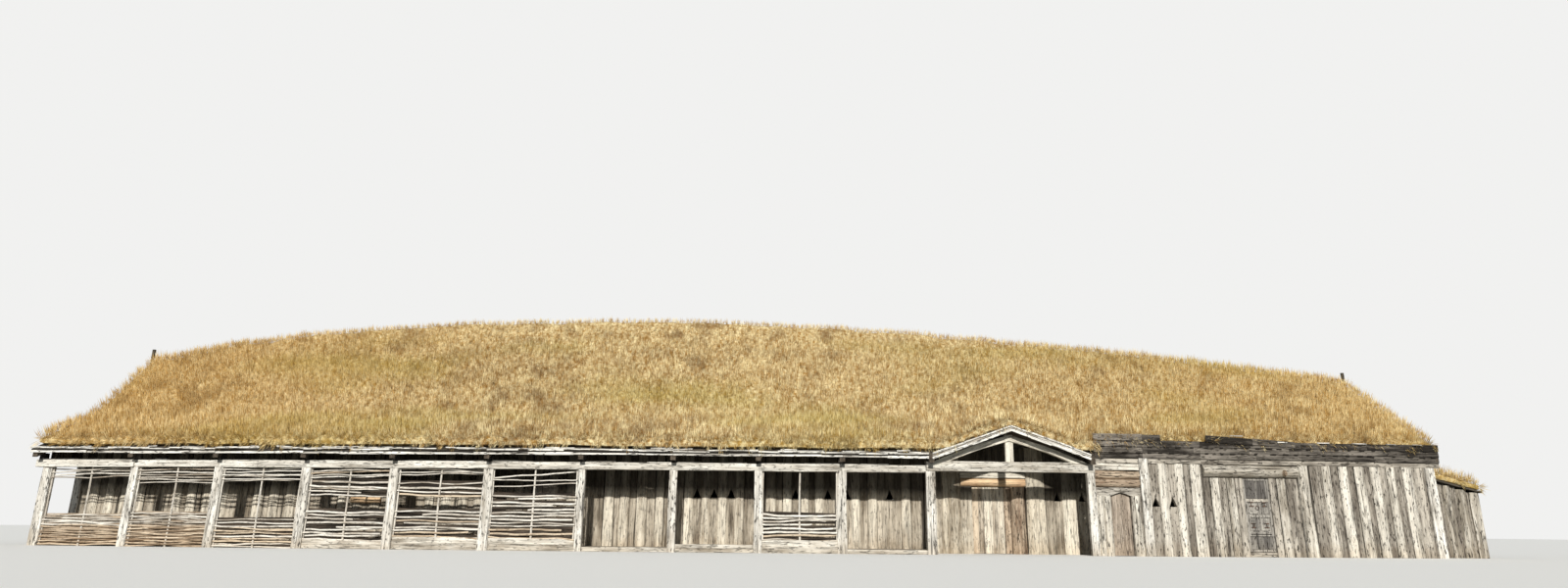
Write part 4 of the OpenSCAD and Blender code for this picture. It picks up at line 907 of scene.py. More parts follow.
# %% [markdown]
# The woven rails are the finest work on the house. Peeled rods pass before one stake and behind
# the next, and every second rod does the reverse. Real rods are crooked and not of one
# thickness, so each rod gets the weave as a wave along its length, its own slow wander up and
# down, and its own radius. Behind the gaps lie rods coloured dark as painted shade, so that the
# gaps read as shadow. The first bays are woven densely in a warmer wood, the others more loosely.
# %% The rods of the woven rails
STAKE_R, ROD_R = 0.024, 0.0135
RAIL_IN = 0.09
SUNLIT_FROM = 0.50
WATTLE = {
    # the woven bands of each bay: from height, to height, how much the rods rise to the right
    0: [(0.03, 0.74, 0.0), (1.58, 1.78, 0.03)],
    1: [(0.03, 0.81, 0.0), (1.48, 1.82, 0.01)],
    2: [(0.03, 0.67, 0.0), (1.52, 1.82, 0.025)],
    3: [(0.21, 0.85, 0.0), (1.22, 1.54, -0.03), (1.60, 1.80, 0.04)],
    4: [(0.30, 0.87, 0.0), (1.23, 1.50, -0.025), (1.70, 1.82, 0.01)],
    5: [(0.29, 1.25, 0.0), (1.42, 1.44, 0.11), (1.58, 1.60, 0.015), (1.62, 1.64, 0.19)],
    8: [(0.30, 0.85, 0.0)],
}
SILLS = [0, 0, 0, 0.19, 0.28, 0.27, 0.10, 0.18, 0.28, 0.10]

# outer wood, inner wood coloured as painted shade in the gaps, tone of the inner rods, gaps between rods,
# stray of a rod's end
DENSE = (warm_rod_wood, warm_rod_wood, 0.15, (-0.006, 0.012), 0.014)
MIXED = (rod_wood, gap_shade_rod_wood, 0.5, (0.010, 0.034), 0.022)
LOOSE = (rod_wood, gap_shade_rod_wood, 0.2, (0.022, 0.052), 0.034)
RAIL_LOOK = {0: DENSE, 1: DENSE, 2: MIXED}


def woven(length, side, first):
    """The bend of one rod: the weave round three stakes, and a slow wander of its own."""
    wander = [(rng.uniform(0.005, 0.016) / k, k * rng.uniform(0.7, 1.3), rng.uniform(0, 6.3))
              for k in (1, 2, 4)]
    def bend(places):
        part = (places[:, 0] + first) / length
        places[:, 2] += side * (STAKE_R + ROD_R) * np.cos(2 * np.pi * part)
        for size, waves, phase in wander:
            places[:, 1] += size * np.sin(2 * np.pi * waves * part + phase)
        return places
    return bend


def rod_radius(bay, open_band):
    if open_band:
        return ROD_R * rng.uniform(0.9, 1.35)
    return ROD_R * (rng.uniform(1.0, 1.6) if bay < 3 else rng.uniform(1.2, 1.9))


def rod_reach(bay, open_band):
    """Where a rod starts and ends, as shares of the bay. Some rods of the loose bays are short."""
    first, last = (rng.uniform(0.0, 0.45), 1.0) if rng.random() < 0.5 else (0.0, rng.uniform(0.55, 1.0))
    if bay < 3 or open_band or rng.random() < 0.65:
        return 0.0, 1.0
    return first, last


print("bands of rods", sum(len(bands) for bands in WATTLE.values()))

# %% [markdown]
# Each rail is laid from the bottom up, as a weaver would: one rod after another, each on the
# last one's radius and a gap of chance. The thin bands high up are open, with nothing behind.
# Then the three stakes are set, and the whole rail is roughened a little and handed over.
# %% Woven rails


def woven_band(bay, band, left, length, count):
    """One band of rods, and the number of rods that it brings the rail to."""
    low, high, tilt = band
    along, out = bay_vectors(bay)
    outer, inner, gap_shade_tone, gaps, stray = RAIL_LOOK.get(bay, LOOSE)
    open_band = low > 1.4
    made = []
    z = low
    while z <= high:
        radius = rod_radius(bay, open_band)
        z_end = z + tilt + rng.uniform(-stray, stray)
        way = (along * length + UP * (z_end - z)).normalized()
        first, last = rod_reach(bay, open_band)
        start = on_bay(bay, left, 0.0, z) + way * first * length
        size = ((last - first) * length, 2 * radius, 2 * radius)
        look = outer if rng.random() < 0.85 else warm_rod_wood
        if bay < 2 and z > SUNLIT_FROM:
            look = rod_wood
        tone = rng.uniform(0.1, 1.0) if bay < 2 else rng.uniform(0.45, 1.1)
        bend = woven(length, 1 if count % 2 == 0 else -1, first * length)
        made.append(timber("rod", start, way, out, size, look, tone, bend))
        gap = rng.uniform(0.015, 0.045) if open_band else rng.uniform(*gaps)
        if z < high and not open_band:
            # the rod behind each gap is coloured dark: painted shade seen through the gap
            start = on_bay(bay, left, 0.05, z + radius + gap / 2)
            size = (length, abs(gap) + 0.03, 0.04)
            made.append(timber("rod", start, way, out, size, inner, gap_shade_tone, crooked(0.004)))
        z += radius * 2 + gap
        count += 1
    return made, count


def rail_stake(bay, left, right, part):
    foot = on_bay(bay, left + part * (right - left), 0.0, SILLS[bay])
    radius = STAKE_R * (1.0 if part == 0.5 else 0.85)
    return timber("rod", foot, UP, bay_vectors(bay)[1], (post_top - SILLS[bay], 2 * radius, 2 * radius),
                  rod_wood, 0.7, bowed(rng.uniform(-0.02, 0.02), 0, 0.15))


for bay, bands in WATTLE.items():
    left, right = post_x[bay] + RAIL_IN, post_x[bay + 1] - RAIL_IN
    length = (right - left) / bay_vectors(bay)[0].x
    pieces, count = [], 0
    for band in bands:
        rods, count = woven_band(bay, band, left, length, count)
        pieces += rods
    pieces += [rail_stake(bay, left, right, part) for part in (0.015, 0.5, 0.985)]
    rail = join(pieces)
    roughen(rail, 0.006, 0.06, (3, 1, 1))
    hand_over(rail, "woven_rail_bay_%d" % (bay + 1), "house", "woven_rods", "wattle_bay_%d" % (bay + 1))
    print("woven rail in bay", bay + 1, "rods", count, "triangles", totals[rail.name])

# %% [markdown]
# The sills lie between the posts. They are squared logs, pale on their weathered face and brown
# at the ground. The high ones are two logs, one on the other.
# %% Sills
SILL_DEEP = 0.07
sill_timbers = []
for bay in range(GALLERY_BAYS):
    if SILLS[bay] > 0:
        courses = 2 if SILLS[bay] > 0.15 else 1
        high = SILLS[bay] / courses
        left, right = post_x[bay] + RAIL_IN, post_x[bay + 1] - RAIL_IN
        for k in range(courses):
            section, tone = (high * 1.02, SILL_DEEP), 0.40 + 0.15 * k
            sill_timbers.append(bay_timber("hewn", bay, left, right, 0.0, high * (k + 0.5), section,
                                           beam_wood, tone, crooked(0.004)))
lying(sill_timbers, "gallery_sills_hewn", "sill_timber", "gallery_sills", rough=0.7)
print("sills", totals["gallery_sills_hewn"])

# %% [markdown]
# The walls are stave walls. Broad planks stand side by side, and a split log with its round side
# out covers each joint, so the front reads as pale round ribs with darker, flat strips between
# them. Some strips have a triangular peep-hole. A boolean cuts it with a three-sided prism,
# which is modelled once for each height of hole, in the frame of a plank that still lies down.
# %% Cutters for the peep-holes
PEEP_W, PEEP_H = 0.19, 0.23
PEEP_ROOM = 0.105
PEEP_IN = {7: [0.47, 0.89, 1.31], 8: [0.90, 1.69], 9: [0.19, 1.25], 10: [3.325, 3.945], 12: [0.245, 0.665]}
peeps = {bay: [post_x[bay] + d for d in places] for bay, places in PEEP_IN.items()}


def prism(z):
    """A three-sided cutter in a plank's own frame, its tip up, with its foot at height z."""
    bpy.ops.object.select_all(action="DESELECT")
    high, wide = PEEP_H / 1.5, PEEP_W / (2 * math.cos(math.radians(30)))
    bpy.ops.mesh.primitive_cylinder_add(
        vertices=3, radius=1, depth=2, location=(z + high / 2, 0, 0), rotation=(0, 0, -math.pi / 2)
    )
    made = bpy.context.object
    made.scale = (wide, high, 1)
    bpy.ops.object.transform_apply(location=True, rotation=True, scale=True)
    return made


gallery_peep = prism(1.25)
wing_peep = prism(1.12)
print("peep-holes", sum(len(places) for places in peeps.values()))

# %% [markdown]
# One function makes a stretch of stave wall in any bay. It first walks along the joints and sets
# a split log on each, except where a peep-hole would be in its way. Then it goes from joint to
# joint with a plank between the logs, and a thin lining behind it that closes the gaps. The
# back wall is the same wall, mirrored.
# %% A stretch of stave wall
PITCH, STAVE_W, BULGE = 0.42, 0.23, 0.065
PLANK_T, LINING_T, LINING_IN = 0.12, 0.03, 0.13
HOUSE_DEPTH = 9.10
HALL_WOODS = (stave_wood, plank_wood)
WING_WOODS = (wing_wood, wing_plank_wood)


def mirrored(y):
    """The depth on the back wall that lies opposite y on the front."""
    return HOUSE_DEPTH - 2 * shift_y - y


def wall_point(bay, x, behind, back):
    y = line_y(bay, x) + behind
    return Vector((x, mirrored(y) if back else y, 0))


def shrunk(half_wide):
    """The gap that a plank has left beside a log when it dried. Without a log there is none."""
    return rng.uniform(0.003, 0.016) if half_wide else 0


def stave_stretch(bay, behind, height, start_x, end_x, anchor, woods, holes=(), cutter=None, back=False):
    out = bay_vectors(bay)[1]
    if back:
        out = Vector((out.x, -out.y, 0))
    made, joints = [], []
    first_joint = math.floor((start_x - anchor) / PITCH - 0.5)
    last_joint = math.ceil((end_x - anchor) / PITCH + 0.5) + 1
    for k in range(first_joint, last_joint + 1):
        x = anchor + (k - 0.5) * PITCH
        in_way = [h for h in holes if abs(x - h) < PITCH / 4]
        beside = [h for h in holes if abs(abs(x - h) - PITCH / 2) < PEEP_ROOM]
        if in_way:
            joints += [(in_way[0] - PEEP_ROOM - 0.025, 0.0), (in_way[0] + PEEP_ROOM + 0.025, 0.0)]
        elif start_x + STAVE_W / 2 <= x <= end_x - STAVE_W / 2:
            if beside:
                wide, x = STAVE_W * 0.98, beside[0] + math.copysign(PITCH / 2, x - beside[0])
            else:
                wide, x = STAVE_W * rng.uniform(0.92, 1.22), x + rng.uniform(-0.02, 0.02)
            joints.append((x, wide / 2))
            size, tone = (height, wide, BULGE * rng.uniform(0.85, 1.1)), 0.62 + rng.uniform(-0.15, 0.2)
            start = wall_point(bay, x, behind, back)
            made.append(timber("split", start, UP, out, size, woods[0], tone, crooked(0.006)))
        else:
            joints.append((x, 0.0))
    for (a, half_a), (b, half_b) in zip(joints, joints[1:]):
        low_x, high_x = max(start_x, a), min(end_x, b)
        if high_x - low_x > 0.03:
            pierced = [h for h in holes if a < h < b]
            if not pierced:
                lining = wall_point(bay, (low_x + high_x) / 2, behind, back) - out * LINING_IN
                size = (height, high_x - low_x, LINING_T)
                made.append(timber("short", lining, UP, out, size, woods[1], 0.0))
                low_x = max(low_x, a + half_a + shrunk(half_a))
                high_x = min(high_x, b - half_b - shrunk(half_b))
            start = wall_point(bay, pierced[0] if pierced else (low_x + high_x) / 2, behind, back)
            start.y += rng.uniform(-0.012, 0.012)
            size, tone = (height, high_x - low_x, PLANK_T), 0.45 + rng.uniform(-0.25, 0.25)
            through = cutter if pierced else None
            made.append(timber("plank", start, UP, out, size, woods[1], tone, None, through))
    return made


print("staves every", PITCH, "m")

# %% [markdown]
# Behind the gallery runs the hall's front wall, in four pieces from the left end to the porch.
# Its staves are bleached. High up under the eave their colour is darkened as painted shade,
# where the eave's shadow falls. One short orange log lies on it in the fourth bay.
# %% The hall's front wall
GALLERY_DEPTH = 1.20
CROSS_LOG_X, CROSS_LOG_Z = post_x[3] + 0.70, 1.13
JOINT, END_JOINT = 0.002, 0.112
hall_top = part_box("hall_wall_middle")[1].z


def staves(pieces, node, slot, rough):
    """Hands over a wall that takes the place of a CAD node."""
    return upright(pieces, node + "_staves", slot, node, rough=rough)


def hall_bay(bay, left=JOINT, right=JOINT):
    anchor = peeps[bay][0] if bay in peeps else middle_x(bay)
    return stave_stretch(bay, GALLERY_DEPTH, hall_top, post_x[bay] + left, post_x[bay + 1] - right, anchor,
                         HALL_WOODS, peeps.get(bay, ()), gallery_peep)


west_wall = hall_bay(0, left=END_JOINT)
for bay in range(1, 5):
    west_wall += hall_bay(bay)
west_wall.append(timber("split", on_bay(3, CROSS_LOG_X, GALLERY_DEPTH - 0.045, CROSS_LOG_Z), *bay_vectors(3),
                        (0.76, 0.15, 0.06), orange_wood, 0.75, crooked(0.006)))
staves(west_wall, "hall_wall_west", "hall_staves", 0.6)
staves(hall_bay(5) + hall_bay(6), "hall_wall_middle", "hall_staves", 0.6)
staves(hall_bay(7), "hall_wall_peeps", "hall_staves", 0.6)
staves(hall_bay(8) + hall_bay(9), "hall_wall_pairs", "hall_staves", 0.6)
print("hall walls", totals["hall_wall_west_staves"], totals["hall_wall_peeps_staves"])

# %% [markdown]
# The wall behind the porch is the show front. A broad pale stave stands on either side of the
# door, and right of them the strips are narrow and dark, with one more peep-hole. The places
# of the doorway come first, because the walls end at its jambs.
# %% The walls beside the main door
MAIN_X, MAIN_W, MAIN_H = post_x[PORCH] + 1.193, 0.95, 1.565
LEAF_GAP = 0.008
JAMB_W, LOG_R = 0.28, 0.19
STRIP_T = 0.145
RETURN_X = post_x[SMALL_DOOR] + 0.305
lintel_left = MAIN_X - LEAF_GAP - JAMB_W
lintel_right = MAIN_X + MAIN_W + LEAF_GAP + 2 * LOG_R + JOINT
lintel_low, lintel_high = [corner.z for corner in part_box("main_door_lintel")]


def porch_rib(x, wide, tone, material):
    start, size = on_bay(PORCH, x, GALLERY_DEPTH), (hall_top, wide, BULGE)
    return timber("split", start, UP, porch_out, size, material, tone, crooked(0.01))


def porch_strip(a, b, tone, material, cutter=None, low=0.0):
    start = on_bay(PORCH, (a + b) / 2, GALLERY_DEPTH, low)
    size = (hall_top - low, b - a, STRIP_T)
    return timber("plank", start, UP, porch_out, size, material, tone, None, cutter)


left_wall = [
    porch_strip(post_x[PORCH] + JOINT, lintel_left - 0.5, 0.5, plank_wood),
    porch_strip(lintel_left - 0.5, lintel_left - JOINT, 0.5, plank_wood),
    porch_rib(lintel_left - 0.245, 0.48, 0.42, porch_stave_wood),
    porch_rib(post_x[PORCH] + 0.23, 0.23, 0.6, stave_wood),
]
staves(left_wall, "porch_wall_left", "hall_staves", 0.6)
peep, end_peep = peeps[PORCH]
wall_end = RETURN_X - 0.082
right_wall = [
    porch_strip(lintel_right + JOINT, lintel_right + 0.49, 0.5, plank_wood),
    porch_strip(lintel_right + 0.49, peep - 0.13, 0.45, plank_wood),
    porch_strip(peep - 0.13, peep + 0.13, 0.45, plank_wood, gallery_peep),
    porch_strip(peep + 0.13, 2 * end_peep - wall_end, 0.5, plank_wood),
    porch_strip(2 * end_peep - wall_end, wall_end, 0.85, stave_wood, gallery_peep),
    porch_rib(lintel_right + 0.245, 0.48, 0.62, porch_stave_wood),
    porch_rib(RETURN_X - 0.51, 0.39, 0.9, stave_wood),
]
staves(right_wall, "porch_wall_right", "hall_staves", 0.6)
print("porch walls", totals["porch_wall_left_staves"], totals["porch_wall_right_staves"])

# %% [markdown]
# A pinkish plank and a thick brown log are the main door's jambs. An orange log lies on them and
# carries the wall above, whose foot is hidden by one pale board.
# %% Round the main door
OVERBOARD_H = 0.12


def door_point(bay, x, face, u, v, z):
    """A point in a doorway: u along the wall from x, v behind its face, z above the ground."""
    along, out = bay_vectors(bay)
    return on_bay(bay, x, face, z) + along * u - out * v


jambs = [
    timber("plank", door_point(PORCH, MAIN_X, GALLERY_DEPTH, -LEAF_GAP - JAMB_W / 2, 0, 0), UP, porch_out,
           (lintel_low, JAMB_W, 0.155), stave_wood, 0.42),
    timber("log", door_point(PORCH, MAIN_X, GALLERY_DEPTH, MAIN_W + LEAF_GAP + LOG_R, 0.08, 0), UP, porch_out,
           (lintel_low, 2 * LOG_R, 2 * LOG_R), barked_wood, 0.52, bowed(0.012, 0, 0.05)),
]
upright(jambs, "main_door_jambs_hewn", "brown_timber", "main_door_jambs", rough=0.7)
lintel = [bay_timber("log", PORCH, lintel_left, lintel_right, GALLERY_DEPTH + 0.08,
                     (lintel_low + lintel_high) / 2, (lintel_high - lintel_low, 0.24), orange_wood, 0.70)]
lying(lintel, "main_door_lintel_log", "orange_log", "main_door_lintel", rough=0.7)
over = []
x = lintel_left
while x < lintel_right - 0.05:
    wide = min(rng.uniform(0.16, 0.3), lintel_right - x)
    over.append(porch_strip(x, x + wide, 0.5, plank_wood, None, lintel_high))
    x += wide
over.append(bay_timber("hewn", PORCH, lintel_left, lintel_right, GALLERY_DEPTH - 0.015,
                       lintel_high + OVERBOARD_H / 2, (OVERBOARD_H, 0.03), cream_wood, 0.72))
upright(over, "main_door_overwall_planks", "hall_staves", "main_door_overwall", rough=0.4)
print("jambs and lintel", totals["main_door_jambs_hewn"], totals["main_door_lintel_log"])

# %% [markdown]
# A plank door is a row of boards held by two ledges behind them. The boards have shrunk, so a
# dark line shows between them. The leaf is modelled round the CAD leaf: the same frame, width,
# height and thickness, with each board a plank of its own and an iron hinge from CAD behind.
# %% Main door and small door
LEAF_T, LEDGE_T, LEDGE_H = 0.05, 0.025, 0.11
BOARD_GAP, LEAF_LOW = 0.005, 0.01
WING_FACE = -0.04
SMALL_X, SMALL_W, SMALL_H = post_x[SMALL_DOOR] + 0.46, 0.48, 1.40
MAIN_BOARDS = ((0.15, warm_rod_wood, 0.75), (0.13, door_wood, 0.1), (0.22, door_wood, 0.78),
               (0.12, door_wood, 0.35), (0.17, door_wood, 0.7), (0.16, barked_wood, 0.6))
SMALL_BOARDS = ((0.26, leaf_wood, 0.50), (0.22, leaf_wood, 0.24))


def plank_door(name, bay, x, face, inset, wide, high, boards):
    """A leaf that rides on the body of its own name. A board is its width, wood and tone."""
    along, out = bay_vectors(bay)
    made = []
    u = 0.0
    total = sum([width for width, material, tone in boards])
    for width, material, tone in boards:
        board = width / total * wide
        start = door_point(bay, x, face, u + board / 2, inset, LEAF_LOW)
        size = (high, board - BOARD_GAP, LEAF_T - LEDGE_T)
        made.append(timber("plank", start, UP, out, size, material, tone))
        u += board
    for share in (0.18, 0.82):
        start = door_point(bay, x, face, 0.01, inset + LEAF_T - LEDGE_T / 2, LEAF_LOW + high * share)
        made.append(timber("hewn", start, along, out, (wide - 0.02, LEDGE_H, LEDGE_T), plank_wood, 0.4))
    piece = join(made)
    roughen(piece, 0.006, 0.06, ALONG_UP)
    return hand_over(piece, name + "_boards", name, "door_boards", name)


plank_door("main_door", PORCH, MAIN_X, GALLERY_DEPTH, 0.06, MAIN_W, MAIN_H - LEAF_LOW, MAIN_BOARDS)
plank_door("small_door", SMALL_DOOR, SMALL_X, WING_FACE, 0.08, SMALL_W, SMALL_H - LEAF_LOW, SMALL_BOARDS)
print("doors", totals["main_door_boards"], totals["small_door_boards"])

# %% [markdown]
# Round the small door the wall is patched from odd pieces: two bleached planks on the left, a
# curved one on the right, a grey lintel with a pointed arch cut into it, and above that two
# logs on their sides and two boards. The lintel keeps its CAD shape and only gets its wood.
# %% The bay of the small door
SMALL_LOG_H, SMALL_LOG_DEEP = 0.20, 0.224
jamb_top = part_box("small_door_walls")[1].z
rail_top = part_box("small_door_logs")[1].z
small_out = bay_vectors(SMALL_DOOR)[1]
small_left, small_right = post_x[SMALL_DOOR] + 0.102, post_x[PLAIN] - 0.117
door_left, door_right = SMALL_X - LEAF_GAP, SMALL_X + SMALL_W + LEAF_GAP
split_x = (small_left + door_left) / 2


def patch_strip(a, b, tone):
    start = on_bay(SMALL_DOOR, (a + b) / 2, WING_FACE)
    return timber("plank", start, UP, small_out, (jamb_top, b - a, STRIP_T), wing_plank_wood, tone)


def patch_rib(a, b, tone, deep, bend):
    start = on_bay(SMALL_DOOR, (a + b) / 2, WING_FACE)
    return timber("split", start, UP, small_out, (jamb_top, b - a, deep), wing_wood, tone, bend)


small_walls = [
    patch_strip(small_left, split_x, 0.5),
    patch_strip(split_x, door_left, 0.6),
    patch_rib(small_left + 0.01, split_x - 0.01, 0.75, BULGE, crooked(0.006)),
    patch_rib(split_x, door_left - 0.01, 0.65, BULGE * 0.8, crooked(0.006)),
    patch_strip(door_right, small_right, 0.5),
    patch_rib(door_right + 0.005, small_right - 0.01, 0.8, BULGE, bowed(0.02, 0, 0.1)),
]
upright(small_walls, "small_door_walls_planks", "grey_staves", "small_door_walls", rough=0.7)

log_low = jamb_top + 0.19
rail_low = log_low + 2 * SMALL_LOG_H
rail_high = (rail_top - rail_low) / 2
logs = []
for k, tone in enumerate((0.42, 0.60)):
    logs.append(bay_timber("log", SMALL_DOOR, small_left, small_right, WING_FACE + 0.08,
                           log_low + SMALL_LOG_H * (k + 0.5), (SMALL_LOG_H, SMALL_LOG_DEEP),
                           barked_wood, tone, bowed(rng.uniform(-0.01, 0.01), 0.008, 0.04)))
for k, (material, tone) in enumerate(((wing_wood, 0.95), (wing_plank_wood, 0.8))):
    logs.append(bay_timber("hewn", SMALL_DOOR, small_left, small_right, WING_FACE + 0.03,
                           rail_low + rail_high * (k + 0.5), (rail_high - 0.006, 0.12),
                           material, tone, crooked(0.004)))
lying(logs, "small_door_logs_round", "sill_timber", "small_door_logs", rough=0.8)
print("small door bay", totals["small_door_walls_planks"], totals["small_door_logs_round"])

# %% [markdown]
# The wing is closed to the ground. Its staves are the most weathered of all, nearly white and
# full of black pits. The panelled door has a short stretch of wall on either side, and a thick
# log with one knot lies over its whole bay.
# %% Wing walls
BESIDE_PLANK_POST, BESIDE_SEAM, BESIDE_ROUND_POST = 0.117, 0.015, 0.152
PANEL_X, PANEL_W = post_x[PANEL] + 1.01, 0.65
panel_wall_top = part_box("wing_wall_panel")[1].z
panel_along, panel_out = bay_vectors(PANEL)


def wing_stretch(bay, height, start_x, end_x, anchor, holes=()):
    return stave_stretch(bay, WING_FACE, height, start_x, end_x, anchor, WING_WOODS, holes, wing_peep)


plain = wing_stretch(PLAIN, wing_wall_top, post_x[PLAIN] + BESIDE_PLANK_POST, post_x[PANEL] - BESIDE_SEAM,
                     peeps[PLAIN][0], peeps[PLAIN])
staves(plain, "wing_wall_left", "grey_staves", 0.7)
panel_middle = PANEL_X + PANEL_W / 2
panel_wall = wing_stretch(PANEL, panel_wall_top, post_x[PANEL] + BESIDE_SEAM, PANEL_X - LEAF_GAP,
                          panel_middle)
panel_wall += wing_stretch(PANEL, panel_wall_top, PANEL_X + PANEL_W + LEAF_GAP,
                           post_x[LAST] - BESIDE_ROUND_POST, panel_middle)
staves(panel_wall, "wing_wall_panel", "grey_staves", 0.7)
right_bay = wing_stretch(LAST, wing_wall_top, post_x[LAST] + BESIDE_ROUND_POST,
                         post_x[LAST + 1] - BESIDE_PLANK_POST, middle_x(LAST))
staves(right_bay, "wing_wall_right", "grey_staves", 0.7)

over_left, over_right = post_x[PANEL] + 0.03, post_x[LAST] - BESIDE_ROUND_POST
over_z = (panel_wall_top + wing_wall_top) / 2
knot_place = on_bay(PANEL, over_right - 0.35, WING_FACE - 0.085, over_z - 0.03)
over_log = [
    bay_timber("log", PANEL, over_left, over_right, WING_FACE + 0.06, over_z,
               (wing_wall_top - panel_wall_top, 0.33), wing_wood, 0.30, bowed(0, 0, 0.06)),
    timber("log", knot_place, panel_out, UP, (0.06, 0.12, 0.16), brown_wood, 0.5, bowed(0, 0.01, 0.35)),
]
lying(over_log, "wing_lintel_log_hewn", "pale_timber", "wing_lintel_log", rough=0.8)
print("wing walls", [totals["wing_wall_%s_staves" % side] for side in ("left", "panel", "right")])

# %% [markdown]
# Over the wing runs a brown plate, one timber to a bay, and on it lie the courses of tarred
# boards that hold back the turf. The plate is short at the small door, where logs take its
# place, and long at the right end, where it carries the lean-to's edge.
# %% Plate over the wing
plate_low, plate_high = [corner.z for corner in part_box("wing_plate")]
plate_timbers = []
for bay in (PLAIN, PANEL, LAST):
    left = post_x[bay] + (BESIDE_PLANK_POST if bay == PLAIN else 0.0)
    right = post_x[bay + 1] + (0.298 if bay == LAST else 0.0)
    tone = 0.40 if bay == LAST else 0.52
    plate_timbers.append(bay_timber("hewn", bay, left, right, 0.018, (plate_low + plate_high) / 2,
                                    (plate_high - plate_low, 0.17), wing_plank_wood, tone, crooked(0.004)))
lying(plate_timbers, "wing_plate_hewn", "brown_timber", "wing_plate", rough=0.6)
print("plate", totals["wing_plate_hewn"])

# %% [markdown]
# Three courses of tarred boards lie over the wing, each lapping the one below. A fourth one
# stands before the turf on the left, has a gap where the turf hangs down, tilts towards the
# right and ends there. The boards are one to two and a half metres long, and no two are
# equally black. Wedges stick out under each lap, where the boards are pinned, coloured near
# black as painted shadow under the lap, and pale slivers lie on the top edge.
# %% Lapped boards over the wing
WING_EDGE = 0.07
LAP_H, LAP, LAP_STEP = 0.15, 0.015, 0.022
TOP_COURSE = 3
TURF_HANGS = (post_x[PLAIN] + 0.45, post_x[PANEL] + 0.15)
TOP_COURSE_END = post_x[PANEL] + 2.40
TOP_COURSE_FALL = 0.125
SLIVERS = ((PANEL, 0.75), (PANEL, 1.95), (LAST, 0.40), (LAST, 1.30), (LAST, 2.20), (LAST, 2.90))


def course_ends(course, bay):
    """Where a course starts and ends in a bay."""
    start = post_x[bay] + (0.10 if bay == SMALL_DOOR else 0.0)
    end = post_x[bay + 1] + (0.30 if bay == LAST else 0.0)
    if course == TOP_COURSE and bay == PLAIN:
        end = TURF_HANGS[0]
    if course == TOP_COURSE and bay == PANEL:
        start, end = TURF_HANGS[1], TOP_COURSE_END
    if course == TOP_COURSE and bay == LAST:
        start = end
    return start, end


def lapped_course(course, bay):
    along, out = bay_vectors(bay)
    low = lap_low + course * (LAP_H - LAP)
    x, end = course_ends(course, bay)
    made = []
    while x < end - 0.05:
        length = min(rng.uniform(1.0, 2.6), end - x)
        z = low + LAP_H / 2 + rng.uniform(-0.008, 0.008)
        start = on_bay(bay, x, -WING_EDGE - 0.017 - course * LAP_STEP, z)
        way = along
        if course == TOP_COURSE and bay == PANEL:
            way = (along * (end - TURF_HANGS[1]) - UP * TOP_COURSE_FALL).normalized()
            start.z -= TOP_COURSE_FALL * (x - TURF_HANGS[1]) / (end - TURF_HANGS[1])
        size = (length / along.x, LAP_H * rng.uniform(0.94, 1.04), 0.03)
        made.append(timber("hewn", start, way, out, size, dark_wood, 0.42 + rng.uniform(-0.45, 0.55)))
        # wedges under the lap, coloured near black as painted shadow under the lap
        wedge = x + 0.12
        while wedge < x + length - 0.15 and course > 0:
            place = on_bay(bay, wedge, -WING_EDGE - 0.02 - course * LAP_STEP, low - 0.004)
            size = (rng.uniform(0.07, 0.15), 0.026, 0.035)
            made.append(timber("short", place, along, out, size, dark_wood, -0.6))
            wedge += rng.uniform(0.24, 0.42)
        x += length
    return made


lapped = []
for course in range(TOP_COURSE + 1):
    for bay in (SMALL_DOOR, PLAIN, PANEL, LAST):
        lapped += lapped_course(course, bay)
for bay, x in SLIVERS:
    along, out = bay_vectors(bay)
    low = lap_low + (4 if bay == PANEL and x < 1.5 else 3) * (LAP_H - LAP)
    start = on_bay(bay, post_x[bay] + x, -WING_EDGE - 0.05 - 3 * LAP_STEP, low + 0.014)
    lapped.append(timber("short", start, along, out, (rng.uniform(0.2, 0.4), 0.022, 0.03), edge_wood, 0.8))
lying(lapped, "wing_lapped_boards_pinned", "dark_boards", "wing_lapped_boards", rough=0.4)
print("lapped boards", totals["wing_lapped_boards_pinned"])

# %% [markdown]
# The panelled door stands over a pale sill. It is a grey frame with sunk panels of different
# heights: a dark square one above, two carved pairs, and a low one. A thin strip coloured near
# black stands for a narrow slot, as painted shade. Stiles, rails and panels are separate planks,
# placed by their share of the leaf's height. Each carved panel has three plain upright strokes,
# a common ornament.
# %% Panelled door
PANEL_IN, PANEL_LOW, PANEL_H = 0.02, 0.12, 1.67
STILE = 0.045
RAILS = [(0.0, 0.03), (0.21, 0.27), (0.47, 0.50), (0.68, 0.72), (0.975, 1.0)]
PALE_RAIL = 3
FIELDS = [(below[1], above[0]) for below, above in zip(RAILS, RAILS[1:])]
LOW_FIELD, CARVED_FIELDS, TOP_FIELD = FIELDS[0], FIELDS[1:3], FIELDS[3]
between_stiles = PANEL_W - 2 * STILE


def leaf_bar(u, low, wide, high, sunk, deep, material, tone):
    start = door_point(PANEL, PANEL_X, WING_FACE, u + wide / 2, PANEL_IN + sunk, PANEL_LOW + low)
    return timber("plank", start, UP, panel_out, (high, wide, deep), material, tone)


